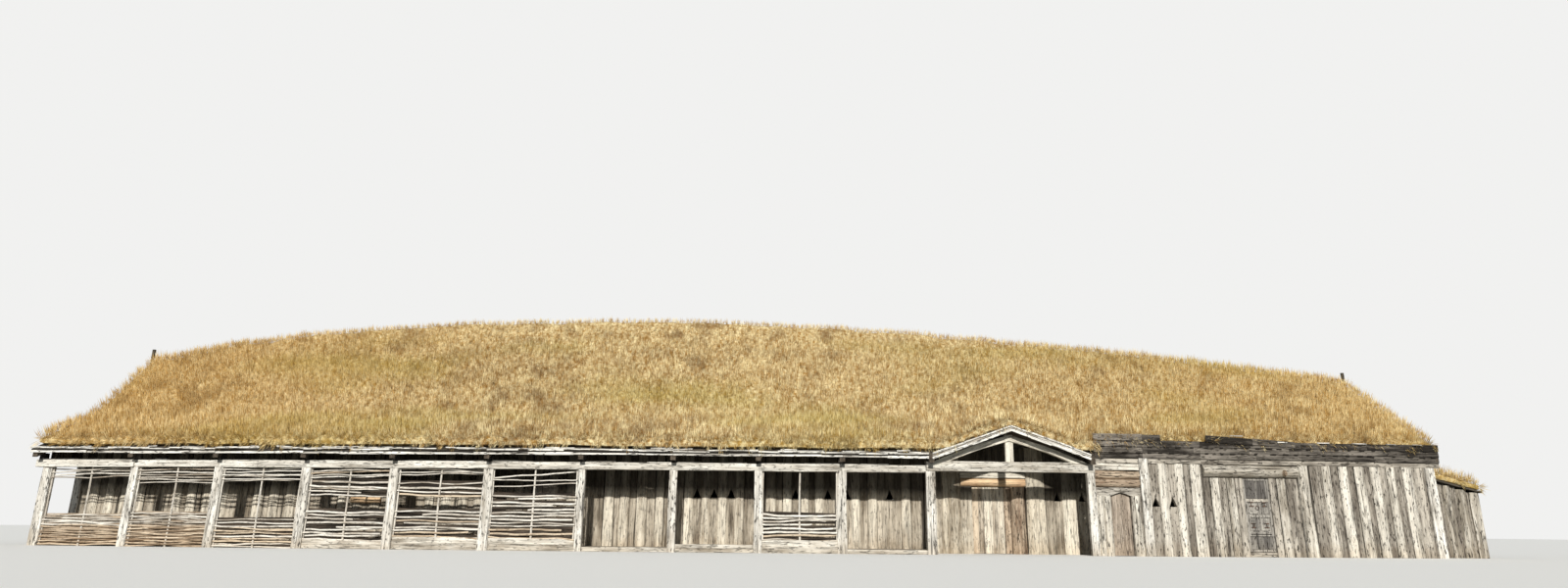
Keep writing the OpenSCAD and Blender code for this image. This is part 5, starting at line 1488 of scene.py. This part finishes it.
panel_pieces = [leaf_bar(0.01, 0.0, PANEL_W - 0.02, PANEL_H, 0.022, 0.026, panel_wood, 0.35)]
for u in (0.0, PANEL_W - STILE):
    panel_pieces.append(leaf_bar(u, 0.0, STILE, PANEL_H, 0.0, LEAF_T, panel_wood, 0.6))
for k, (foot, top) in enumerate(RAILS):
    low, high = foot * PANEL_H, top * PANEL_H
    tone, material = (0.9, wing_plank_wood) if k == PALE_RAIL else (0.6, panel_wood)
    panel_pieces.append(leaf_bar(STILE, low, between_stiles, high - low, 0.0, LEAF_T - 0.002, material, tone))
for (foot, top), tone in ((LOW_FIELD, 0.10), (TOP_FIELD, -0.05)):
    panel_pieces.append(leaf_bar(STILE + 0.01, foot * PANEL_H + 0.01, between_stiles - 0.02,
                                 (top - foot) * PANEL_H - 0.02, 0.012, 0.012, panel_wood, tone))
# painted shade: a thin strip coloured near black stands for the shadow in a narrow slot
panel_pieces.append(leaf_bar(STILE + 0.02, 0.232 * PANEL_H, between_stiles - 0.04, 0.018, -0.003, 0.010,
                             dark_wood, -0.5))
for foot, top in CARVED_FIELDS:
    low, tall = foot * PANEL_H + 0.03, (top - foot) * PANEL_H - 0.06
    wide = PANEL_W / 2 - STILE - 0.05
    for u in (STILE + 0.03, PANEL_W / 2 + 0.02):
        panel_pieces.append(leaf_bar(u, low, wide, tall, 0.012, 0.012, panel_wood, 0.55))
        for share in (0.28, 0.50, 0.72):
            stroke = u + share * wide - 0.006
            panel_pieces.append(leaf_bar(stroke, low + 0.04, 0.012, tall - 0.08, 0.008, 0.006,
                                         panel_wood, 0.05))
panel_leaf = join(panel_pieces)
roughen(panel_leaf, 0.004, 0.05, ALONG_UP)
hand_over(panel_leaf, "panel_door_framed", "panel_door", "dark_panels", "panel_door")
sill = [timber("hewn", door_point(PANEL, PANEL_X, WING_FACE, -LEAF_GAP + 0.002, 0.08, 0.055), panel_along, UP,
               (PANEL_W + 2 * LEAF_GAP - 0.004, 0.155, 0.108), wing_plank_wood, 0.6)]
lying(sill, "panel_door_sill_board", "hall_staves", "panel_door_sill", rough=0.4)
print("panelled door", totals["panel_door_framed"])

# %% [markdown]
# Small iron straps in the shape of an H hold the carved panels, and a thin ring hangs between
# them. The straps are short flat blocks, and the ring is a torus that lies flat on the leaf.
# %% Irons of the panelled door
STRAP_W, STRAP_T = 0.016, 0.008
irons = []
for low in (0.33, 0.62):
    for u in (0.10, PANEL_W - 0.22):
        z = PANEL_LOW + low * PANEL_H
        for dz in (0.0, 0.09):
            start = door_point(PANEL, PANEL_X, WING_FACE, u, PANEL_IN - 0.002, z + dz)
            irons.append(timber("short", start, panel_along, panel_out, (0.12, STRAP_W, STRAP_T), iron))
        start = door_point(PANEL, PANEL_X, WING_FACE, u + 0.06, PANEL_IN - 0.001, z)
        irons.append(timber("short", start, UP, panel_out, (0.09, STRAP_W, STRAP_T), iron))
ring_at = door_point(PANEL, PANEL_X, WING_FACE, 0.30, PANEL_IN - 0.012, PANEL_LOW + 0.60 * PANEL_H)
bpy.ops.object.select_all(action="DESELECT")
bpy.ops.mesh.primitive_torus_add(major_radius=0.045, minor_radius=0.006, major_segments=20, minor_segments=8,
                                 location=ring_at, rotation=(math.pi / 2, 0, bay_turn(PANEL)))
ring = bpy.context.object
bpy.ops.object.transform_apply(location=True, rotation=True, scale=True)
ring.data.materials.append(iron)
irons.append(ring)
hand_over(join(irons), "panel_door_irons", "panel_door", "iron")
print("irons", totals["panel_door_irons"])

# %% [markdown]
# The hidden sides of the house repeat the front's stave walls, in the same wood. The back wall
# mirrors the bow of the front, so the same function makes it, bay by bay.
# %% Back wall
back_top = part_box("back_wall")[1].z
back_pieces = []
for bay in range(len(BAY_WIDTHS)):
    left = END_JOINT if bay == 0 else JOINT
    right = END_JOINT if bay == LAST else JOINT
    back_pieces += stave_stretch(bay, 0.0, back_top, post_x[bay] + left, post_x[bay + 1] - right,
                                 middle_x(bay), WING_WOODS, back=True)
staves(back_pieces, "back_wall", "grey_staves", 0.6)
print("back wall", totals["back_wall_staves"])

# %% [markdown]
# Each plank of a gable is as tall as the roof allows there, so the gable's slope comes from a
# rule for the roof's underside. The roof is steep from its kink up to the ridge and flatter
# from the kink down to the eave, and at the wing's end the front slope is one straight line.
# %% Gables
RIDGE_Y = 5.0 - shift_y
KINK, LOW_RISE, BACK_RISE = 1.55, math.tan(math.radians(22)), math.tan(math.radians(30))
BACK_EAVE_H, WING_EAVE_H = 2.2, 2.42
BACK_KINK_IN, BACK_KINK_RUN = 0.2, 0.5
UNDER_ROOF = 0.012


def between(a, b, part):
    return a + (b - a) * part


def gable_under(side, y):
    """Height of the roof boards' underside over a gable, at y."""
    front = front_y[0 if side < 0 else LAST + 1]
    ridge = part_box("left_gable_wall" if side < 0 else "right_gable_wall")[1].z
    if y > RIDGE_Y:
        kink_z = BACK_EAVE_H + BACK_KINK_RUN * BACK_RISE
        back_foot = mirrored(front)
        if y < back_foot - BACK_KINK_IN:
            return between(ridge, kink_z, (y - RIDGE_Y) / (back_foot - BACK_KINK_IN - RIDGE_Y))
        return between(kink_z, BACK_EAVE_H, (y - back_foot + BACK_KINK_IN) / BACK_KINK_RUN)
    if side > 0:
        return between(WING_EAVE_H, ridge, (y - front + WING_EDGE) / (RIDGE_Y - front + WING_EDGE))
    kink_z = EAVE_H + (KINK + EAVE_OUT) * LOW_RISE
    if y > front + KINK:
        return between(kink_z, ridge, (y - front - KINK) / (RIDGE_Y - front - KINK))
    return EAVE_H + (y - front + EAVE_OUT) * LOW_RISE


def gable_room(side, a, b):
    """The height that is free under the roof all the way from a to b."""
    return min(gable_under(side, a), gable_under(side, b)) - UNDER_ROOF


def gable(side, name, node):
    low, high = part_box(node)
    face = low.x + BULGE if side < 0 else high.x - BULGE
    out = Vector((side, 0, 0))
    count = int((high.y - low.y) / PITCH)
    wide = (high.y - low.y) / count
    made = []
    for k in range(count):
        a, b = low.y + k * wide, low.y + (k + 1) * wide
        middle = (a + b) / 2
        start, size = Vector((face, middle, 0)), (gable_room(side, a, b), wide, 0.15)
        made.append(timber("plank", start, UP, out, size, wing_plank_wood, 0.5))
        tall = gable_room(side, middle - 0.12, middle + 0.12)
        size = (tall, STAVE_W * rng.uniform(0.95, 1.2), BULGE * 0.95)
        made.append(timber("split", start, UP, out, size, wing_wood, 0.6, crooked(0.006)))
    return upright(made, name, "grey_staves", node, rough=0.5)


gable(-1, "left_gable_staves", "left_gable_wall")
gable(1, "right_gable_staves", "right_gable_wall")
print("gables", totals["left_gable_staves"], totals["right_gable_staves"])

# %% [markdown]
# The gallery's left end is closed above its beam by a few dark upright boards, and three squared
# posts stand at the hidden corners of the hall.
# %% Gallery end boards and corner posts
END_BOARDS = 5
CORNER_SIZE = (0.20, 0.215)
end_boards = []
for k in range(END_BOARDS):
    y = front_y[0] + 0.12 + GALLERY_DEPTH * k / END_BOARDS
    low = post_top + BEAM_H
    size = (gable_under(-1, y) - 0.02 - low, GALLERY_DEPTH / END_BOARDS + 0.01, 0.03)
    end_boards.append(timber("plank", Vector((post_x[0] - 0.03, y, low)), UP, Vector((-1, 0, 0)), size,
                             dark_wood, 0.2))
upright(end_boards, "gallery_end_boards", "dark_boards", rough=0.3)

corners = [
    (Vector((post_x[0] + 0.01, front_y[0] + GALLERY_DEPTH + 0.05, 0)), hall_top),
    (Vector((post_x[0] + 0.01, mirrored(front_y[0]) - 0.05, 0)), back_top),
    (Vector((post_x[LAST + 1] - 0.01, mirrored(front_y[LAST + 1]) - 0.05, 0)), back_top),
]
corner_timbers = [timber("hewn", place, UP, OUT, (tall, *CORNER_SIZE), post_wood, 0.6, crooked(0.008))
                  for place, tall in corners]
upright(corner_timbers, "corner_posts_hewn", "pale_timber", "corner_posts", rough=0.6)
print("end boards and corner posts", totals["gallery_end_boards"], totals["corner_posts_hewn"])

# %% [markdown]
# The lean-to at the right gable is built of upright planks with one broad plank at the corner.
# Its walls drop to the right with its roof, so a plank's height follows from its place.
# %% Lean-to walls
ANNEX_T, ANNEX_FALL = 0.12, 0.34
ANNEX_CORNER_W = 0.23
SIDE_PLANKS, END_PLANKS, ANNEX_RIBS = 5, 6, 3
annex_low, annex_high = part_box("annex_walls")
annex_y = annex_low.y + BULGE
annex_end = Vector((1, 0, 0))


def annex_top(x):
    return annex_high.z - ANNEX_FALL * (x - annex_low.x) / (annex_high.x - annex_low.x)


annex_pieces = []
for y, out in ((annex_y, OUT), (annex_high.y, -OUT)):
    for k in range(SIDE_PLANKS):
        a = between(annex_low.x, annex_high.x, k / SIDE_PLANKS)
        b = between(annex_low.x, annex_high.x, (k + 1) / SIDE_PLANKS)
        start, size = Vector(((a + b) / 2, y, 0)), (annex_top(b) - 0.005, b - a, ANNEX_T)
        annex_pieces.append(timber("plank", start, UP, out, size, wing_plank_wood, 0.35))
for k in range(ANNEX_RIBS):
    x = annex_low.x + (k + 0.5) * (annex_high.x - annex_low.x - ANNEX_CORNER_W) / ANNEX_RIBS
    start, size = Vector((x, annex_y, 0)), (annex_top(x + 0.12) - 0.005, 0.25, BULGE * 0.9)
    annex_pieces.append(timber("split", start, UP, OUT, size, wing_wood, 0.15, crooked(0.006)))
end_top = annex_top(annex_high.x) - 0.004
corner = Vector((annex_high.x - 0.115, annex_y - 0.025, 0))
annex_pieces.append(timber("hewn", corner, UP, OUT, (end_top, ANNEX_CORNER_W, 0.08), wing_wood, 0.30))
for k in range(END_PLANKS):
    a = between(annex_y + ANNEX_T, annex_high.y - ANNEX_T, k / END_PLANKS)
    b = between(annex_y + ANNEX_T, annex_high.y - ANNEX_T, (k + 1) / END_PLANKS)
    start, size = Vector((annex_high.x, (a + b) / 2, 0)), (end_top, b - a, ANNEX_T)
    annex_pieces.append(timber("plank", start, UP, annex_end, size, wing_plank_wood, 0.7))
upright(annex_pieces, "annex_walls_planks", "grey_staves", "annex_walls", rough=0.5)
print("lean-to", totals["annex_walls_planks"])

# %% [markdown]
# The roof is one soft body of sods. In CAD it is two slabs with sharp edges. A voxel remesh
# melts copies of both into one closed skin, a Smooth modifier rounds the ridge and the edges,
# and two displacements give it the slow bulges and small tussocks of old turf.
# %% Turf
HOUSE_VOXEL, ANNEX_VOXEL = 0.15, 0.06
EVEN = (1, 1, 1)


def sod_body(name, sources, voxel, bulge):
    piece = join([own_copy(cad_nodes[source]) for source in sources])
    to_mode("EDIT")
    bpy.ops.mesh.select_all(action="SELECT")
    bpy.ops.mesh.remove_doubles(threshold=0.0005)
    to_mode("OBJECT")
    melt = piece.modifiers.new("melt", "REMESH")
    melt.mode = "VOXEL"
    melt.voxel_size = voxel
    settle(piece, melt)
    soft = piece.modifiers.new("soft", "SMOOTH")
    soft.factor = 0.5
    soft.iterations = 8
    settle(piece, soft)
    roughen(piece, bulge, 0.9, EVEN)
    roughen(piece, bulge * 0.6, 0.28, EVEN)
    piece.data.materials.clear()
    piece.data.materials.append(sod)
    return hand_over(piece, name, "house", "turf", *sources)


roof_sods = sod_body("roof_sods", ["turf_front", "turf_back"], HOUSE_VOXEL, 0.10)
annex_sods = sod_body("annex_sods", ["annex_turf_roof"], ANNEX_VOXEL, 0.05)
print("sods", totals["roof_sods"], totals["annex_sods"])

# %% [markdown]
# One tuft of grass is six blades. A blade is a narrow kite of two triangles, bent at its widest
# place. The tip attribute runs from 0 at the root to 1 at the point, for the colour. With some
# forty thousand tufts on the roof, a blade can't afford more faces.
# %% One tuft of grass
BLADES = 6
TUFT_R = 0.028


def grass_blade(length, wide, lean, turn):
    bpy.ops.object.select_all(action="DESELECT")
    bpy.ops.mesh.primitive_circle_add(vertices=4, radius=1, fill_type="NGON", location=(0, 0, 0))
    blade = bpy.context.object
    to_mode("EDIT")
    bpy.ops.mesh.select_all(action="SELECT")
    bpy.ops.mesh.quads_convert_to_tris()
    to_mode("OBJECT")
    mesh = blade.data
    tips = []
    for vertex in mesh.vertices:
        x, y = vertex.co.x, vertex.co.y
        part = 0.0 if y < -0.5 else 1.0 if y > 0.5 else 0.45
        tips.append(part)
        bend = lean * part ** 1.6
        vertex.co = (x * wide / 2, length * bend, length * part * (1 - 0.35 * bend))
    mesh.attributes.new("tip", "FLOAT", "POINT").data.foreach_set("value", tips)
    mesh.transform(Matrix.Rotation(turn, 4, "Z"))
    mesh.transform(Matrix.Translation((TUFT_R * math.sin(-turn), TUFT_R * math.cos(turn), 0)))
    mesh.materials.append(grass)
    return blade


blades = []
for k in range(BLADES):
    turn = 2 * math.pi * k / BLADES + rng.uniform(-0.4, 0.4)
    length, wide, lean = rng.uniform(0.13, 0.25), rng.uniform(0.009, 0.013), rng.uniform(0.0, 0.28)
    blades.append(grass_blade(length, wide, lean, turn))
tuft = join(blades)
tuft.name = "tuft"
print("tuft", triangles(tuft), "triangles")

# %% [markdown]
# Geometry Nodes sow the tufts: points are scattered over the faces, each point gets its tone by
# chance, and a tuft is placed on it, turned and scaled at random. It leans between the roof's
# normal and the sky, because grass grows up and then hangs down the slope, and the fringe at
# the eave leans down over the edge. Tufts near the ridge are shorter, so the outline stays
# calm. The instances are realized, so the result is plain mesh.
# %% Node tree that sows grass
# the lowest and the highest lean that a tuft may get, added to the normal it stands on
UPRIGHT_LEAN = (-0.22, -0.30, 0.45), (0.22, 0.10, 1.0)
FRINGE_LEAN = (-0.30, -0.10, -1.3), (0.30, 0.15, 0.6)
TUFT_SCALE = (0.65, 1.25)
RIDGE_RANGE, RIDGE_SCALE = (5.2, 6.1), (1.2, 0.76)


def enabled(sockets, *kinds):
    return [s for s in sockets if s.enabled and (not kinds or s.type in kinds)]


def sowing_tree(density, seed, lean_range):
    tree = bpy.data.node_groups.new("sow grass", "GeometryNodeTree")
    tree.interface.new_socket("Geometry", in_out="INPUT", socket_type="NodeSocketGeometry")
    tree.interface.new_socket("Geometry", in_out="OUTPUT", socket_type="NodeSocketGeometry")
    add, link = tree.nodes.new, tree.links.new

    def chance(kind, number, ends=None):
        """A random value for each point, between two ends."""
        made = add("FunctionNodeRandomValue")
        made.data_type = kind
        made.inputs["Seed"].default_value = seed + number
        for socket, end in zip(enabled(made.inputs, "VALUE", "VECTOR"), ends or ()):
            socket.default_value = end
        return enabled(made.outputs)[0]

    ground, result = add("NodeGroupInput"), add("NodeGroupOutput")
    scatter = add("GeometryNodeDistributePointsOnFaces")
    scatter.inputs["Density"].default_value = density
    scatter.inputs["Seed"].default_value = seed
    link(ground.outputs[0], scatter.inputs["Mesh"])
    store = add("GeometryNodeStoreNamedAttribute")
    store.data_type = "FLOAT"
    store.domain = "POINT"
    store.inputs["Name"].default_value = "tone"
    link(scatter.outputs["Points"], store.inputs["Geometry"])
    value_in = [s for s in enabled(store.inputs) if s.name == "Value"][0]
    link(chance("FLOAT", 1), value_in)

    way = add("ShaderNodeVectorMath")
    way.operation = "ADD"
    link(scatter.outputs["Normal"], way.inputs[0])
    link(chance("FLOAT_VECTOR", 2, lean_range), way.inputs[1])
    point_up = add("FunctionNodeAlignRotationToVector")
    point_up.axis = "Z"
    link(way.outputs[0], point_up.inputs["Vector"])
    turn = add("FunctionNodeRotateRotation")
    turn.rotation_space = "LOCAL"
    link(point_up.outputs[0], turn.inputs["Rotation"])
    link(chance("FLOAT_VECTOR", 3, ((0, 0, 0), (0, 0, 2 * math.pi))), turn.inputs["Rotate By"])

    height, shorter = add("ShaderNodeSeparateXYZ"), add("ShaderNodeMapRange")
    link(add("GeometryNodeInputPosition").outputs[0], height.inputs[0])
    link(height.outputs["Z"], shorter.inputs["Value"])
    for label, number in zip(("From Min", "From Max", "To Min", "To Max"), RIDGE_RANGE + RIDGE_SCALE):
        shorter.inputs[label].default_value = number
    scale = add("ShaderNodeMath")
    scale.operation = "MULTIPLY"
    link(chance("FLOAT", 4, TUFT_SCALE), scale.inputs[0])
    link(shorter.outputs["Result"], scale.inputs[1])

    source = add("GeometryNodeObjectInfo")
    source.inputs["Object"].default_value = tuft
    plant = add("GeometryNodeInstanceOnPoints")
    link(store.outputs["Geometry"], plant.inputs["Points"])
    link(source.outputs["Geometry"], plant.inputs["Instance"])
    link(turn.outputs[0], plant.inputs["Rotation"])
    link(scale.outputs[0], plant.inputs["Scale"])
    realize = add("GeometryNodeRealizeInstances")
    link(plant.outputs["Instances"], realize.inputs[0])
    link(realize.outputs[0], result.inputs[0])
    return tree


print("leans", UPRIGHT_LEAN, FRINGE_LEAN)

# %% [markdown]
# Each patch of grass starts as a copy of the sods. Its faces are selected by their place and
# normal, the others are deleted, and the sowing tree is applied to what is left. The roof is
# sown in five patches, so that no piece has too many faces, and the front more densely than the
# back. The fringe is a sowing of its own, on the steep faces over the eaves.
# %% Sow the roof
GRASS_FRONT, GRASS_BACK, GRASS_ANNEX, FRINGE = 150.0, 55.0, 150.0, 230.0
FRONT_PATCHES, BACK_PATCHES = 3, 2
left_end, right_end = cad_box[0].x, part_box("turf_front")[1].x
ridge_line = RIDGE_Y + 0.15


def sow(name, ground, wanted_face, density, seed, lean_range=UPRIGHT_LEAN):
    piece = own_copy(ground)
    pick(piece)
    to_mode("EDIT")
    bpy.ops.mesh.select_mode(type="FACE")
    bpy.ops.mesh.select_all(action="DESELECT")
    to_mode("OBJECT")
    for face in piece.data.polygons:
        face.select = not wanted_face(face.center, face.normal)
    to_mode("EDIT")
    bpy.ops.mesh.delete(type="FACE")
    to_mode("OBJECT")
    sowing = piece.modifiers.new("sow", "NODES")
    sowing.node_group = sowing_tree(density, seed, lean_range)
    settle(piece, sowing)
    piece.data.materials.clear()
    piece.data.materials.append(grass)
    return hand_over(piece, name, "house", "turf")


def in_share(c, k, count):
    """Whether a place lies in the k-th of count equal shares of the roof's length."""
    return between(left_end, right_end, k / count) <= c.x < between(left_end, right_end, (k + 1) / count)


def front_face(c, n):
    return c.y < ridge_line and (n.z > 0.25 or (n.y < -0.5 and n.z > -0.1))


def back_face(c, n):
    return c.y >= ridge_line and n.z > 0.25


def eave_face(c, n):
    return c.y < ridge_line and n.y < -0.45 and -0.25 < n.z < 0.60


for k in range(FRONT_PATCHES):
    sow("grass_front_%d" % (k + 1), roof_sods,
        lambda c, n, k=k: in_share(c, k, FRONT_PATCHES) and front_face(c, n), GRASS_FRONT, 20 + k)
for k in range(BACK_PATCHES):
    sow("grass_back_%d" % (k + 1), roof_sods,
        lambda c, n, k=k: in_share(c, k, BACK_PATCHES) and back_face(c, n), GRASS_BACK, 30 + k)
sow("grass_annex", annex_sods, lambda c, n: n.z > 0.3, GRASS_ANNEX, 40)
sow("grass_fringe", roof_sods, eave_face, FRINGE, 50, FRINGE_LEAN)
sow("grass_annex_fringe", annex_sods, lambda c, n: n.y < -0.3 and -0.25 < n.z < 0.75, FRINGE, 51, FRINGE_LEAN)
print("grass", {name: count for name, count in totals.items() if "grass" in name})

# %% [markdown]
# Nodes that keep their CAD shape get their finish here: the roof boarding, the rafters and hall
# frames inside, the floor of the gallery, the carved lintel and the iron of the doors.
# %% Finish of the carried-over nodes
carried = {
    "roof_boards_front": cad_dark_wood, "roof_boards_back": cad_dark_wood, "annex_roof_boards": cad_dark_wood,
    "rafters": cad_slope_wood, "hall_frames": cad_upright_wood, "gallery_floor": cad_lying_wood,
    "wall_plates": cad_lying_wood, "return_wall": cad_upright_wood, "ridge_stakes": cad_dark_wood,
    "small_door_lintel": lintel_wood, "main_door_straps": iron, "small_door_straps": iron,
    "panel_door_straps": iron, "door_pintles": iron,
}
for name, material in carried.items():
    node = cad_nodes[name]
    node.data.materials.clear()
    node.data.materials.append(material)
shown = [name for name, node in cad_nodes.items() if not node.hide_render]
print("carried over", len(carried), "still plain", sorted(set(shown) - set(carried)))

# %% [markdown]
# The shapes, the tuft and the cutters were only helpers, so they are removed. The floor is pale
# and plain. It is pale to the camera and darker to the light that bounces off it, so the space
# under the eaves stays dark. The sky below is made in the same way, and one helper serves both:
# it chooses between a shader for the light and a shader for the camera.
# %% Clear up and lay the floor


def two_shaders(dye, seen, for_light, for_camera, surface):
    chosen = dye.node("ShaderNodeMixShader")
    for socket, source in zip(chosen.inputs, (seen, for_light.outputs[0], for_camera.outputs[0])):
        dye.feed(socket, source)
    dye.feed(surface, chosen.outputs[0])


for helper in [*shapes.values(), tuft, gallery_peep, wing_peep]:
    bpy.data.objects.remove(helper)
bpy.ops.object.select_all(action="DESELECT")
bpy.ops.mesh.primitive_plane_add(size=300, location=(0, 60, 0))
floor = bpy.context.object
floor.name = "floor"
floor_material, dye, floor_shader = new_material("pale floor")
pale_shader = dye.node("ShaderNodeBsdfPrincipled")
for shader, colour in ((floor_shader, (0.20, 0.20, 0.18, 1)), (pale_shader, (0.86, 0.86, 0.84, 1))):
    shader.inputs["Base Color"].default_value = colour
    shader.inputs["Roughness"].default_value = 0.95
ray = dye.node("ShaderNodeLightPath")
two_shaders(dye, ray.outputs["Is Camera Ray"], floor_shader, pale_shader,
            floor_material.node_tree.nodes["Material Output"].inputs["Surface"])
floor.data.materials.append(floor_material)
print("floor", tuple(floor.dimensions))

# %% [markdown]
# The light is plain: one low sun from behind the camera, a little softened, and an even pale
# sky. The sun's height gives the shadow that the eave throws on the gallery wall. The camera
# sees the sky brighter than the house does.
# %% Light
SUN_HEIGHT, SUN_SIDE = 25.5, 1.5
sun_data = bpy.data.lights.new("sun", "SUN")
sun_data.energy = 3.8
sun_data.angle = math.radians(1.5)
sun_data.color = (1.0, 0.965, 0.90)
sun = bpy.data.objects.new("sun", sun_data)
bpy.context.scene.collection.objects.link(sun)
height, sideways = math.radians(SUN_HEIGHT), math.radians(SUN_SIDE)
level = math.cos(height)
sun_way = Vector((math.sin(sideways) * level, math.cos(sideways) * level, -math.sin(height)))
sun.rotation_euler = sun_way.to_track_quat("-Z", "Y").to_euler()

world = bpy.data.worlds.new("sky")
world.use_nodes = True
bpy.context.scene.world = world
dye = Dye(world.node_tree)
house_sky = world.node_tree.nodes["Background"]
house_sky.inputs["Color"].default_value = (0.86, 0.93, 1.0, 1)
house_sky.inputs["Strength"].default_value = 0.30
seen_sky = dye.node("ShaderNodeBackground")
seen_sky.inputs["Color"].default_value = (0.88, 0.88, 0.87, 1)
ray = dye.node("ShaderNodeLightPath")
seen = dye.plus(ray.outputs["Is Camera Ray"], ray.outputs["Is Glossy Ray"])
seen = dye.calc("MINIMUM", dye.plus(seen, ray.outputs["Is Transmission Ray"]), 1.0)
two_shaders(dye, seen, house_sky, seen_sky, world.node_tree.nodes["World Output"].inputs["Surface"])
bpy.context.scene.view_settings.view_transform = "Standard"
print("sun from", tuple(round(c, 2) for c in -sun_way))

# The grass and the timbers stand a little proud of the CAD shapes, by less than a quarter of
# a metre on any side. %% Sizes and finish
print("triangles made here", sum(totals.values()))
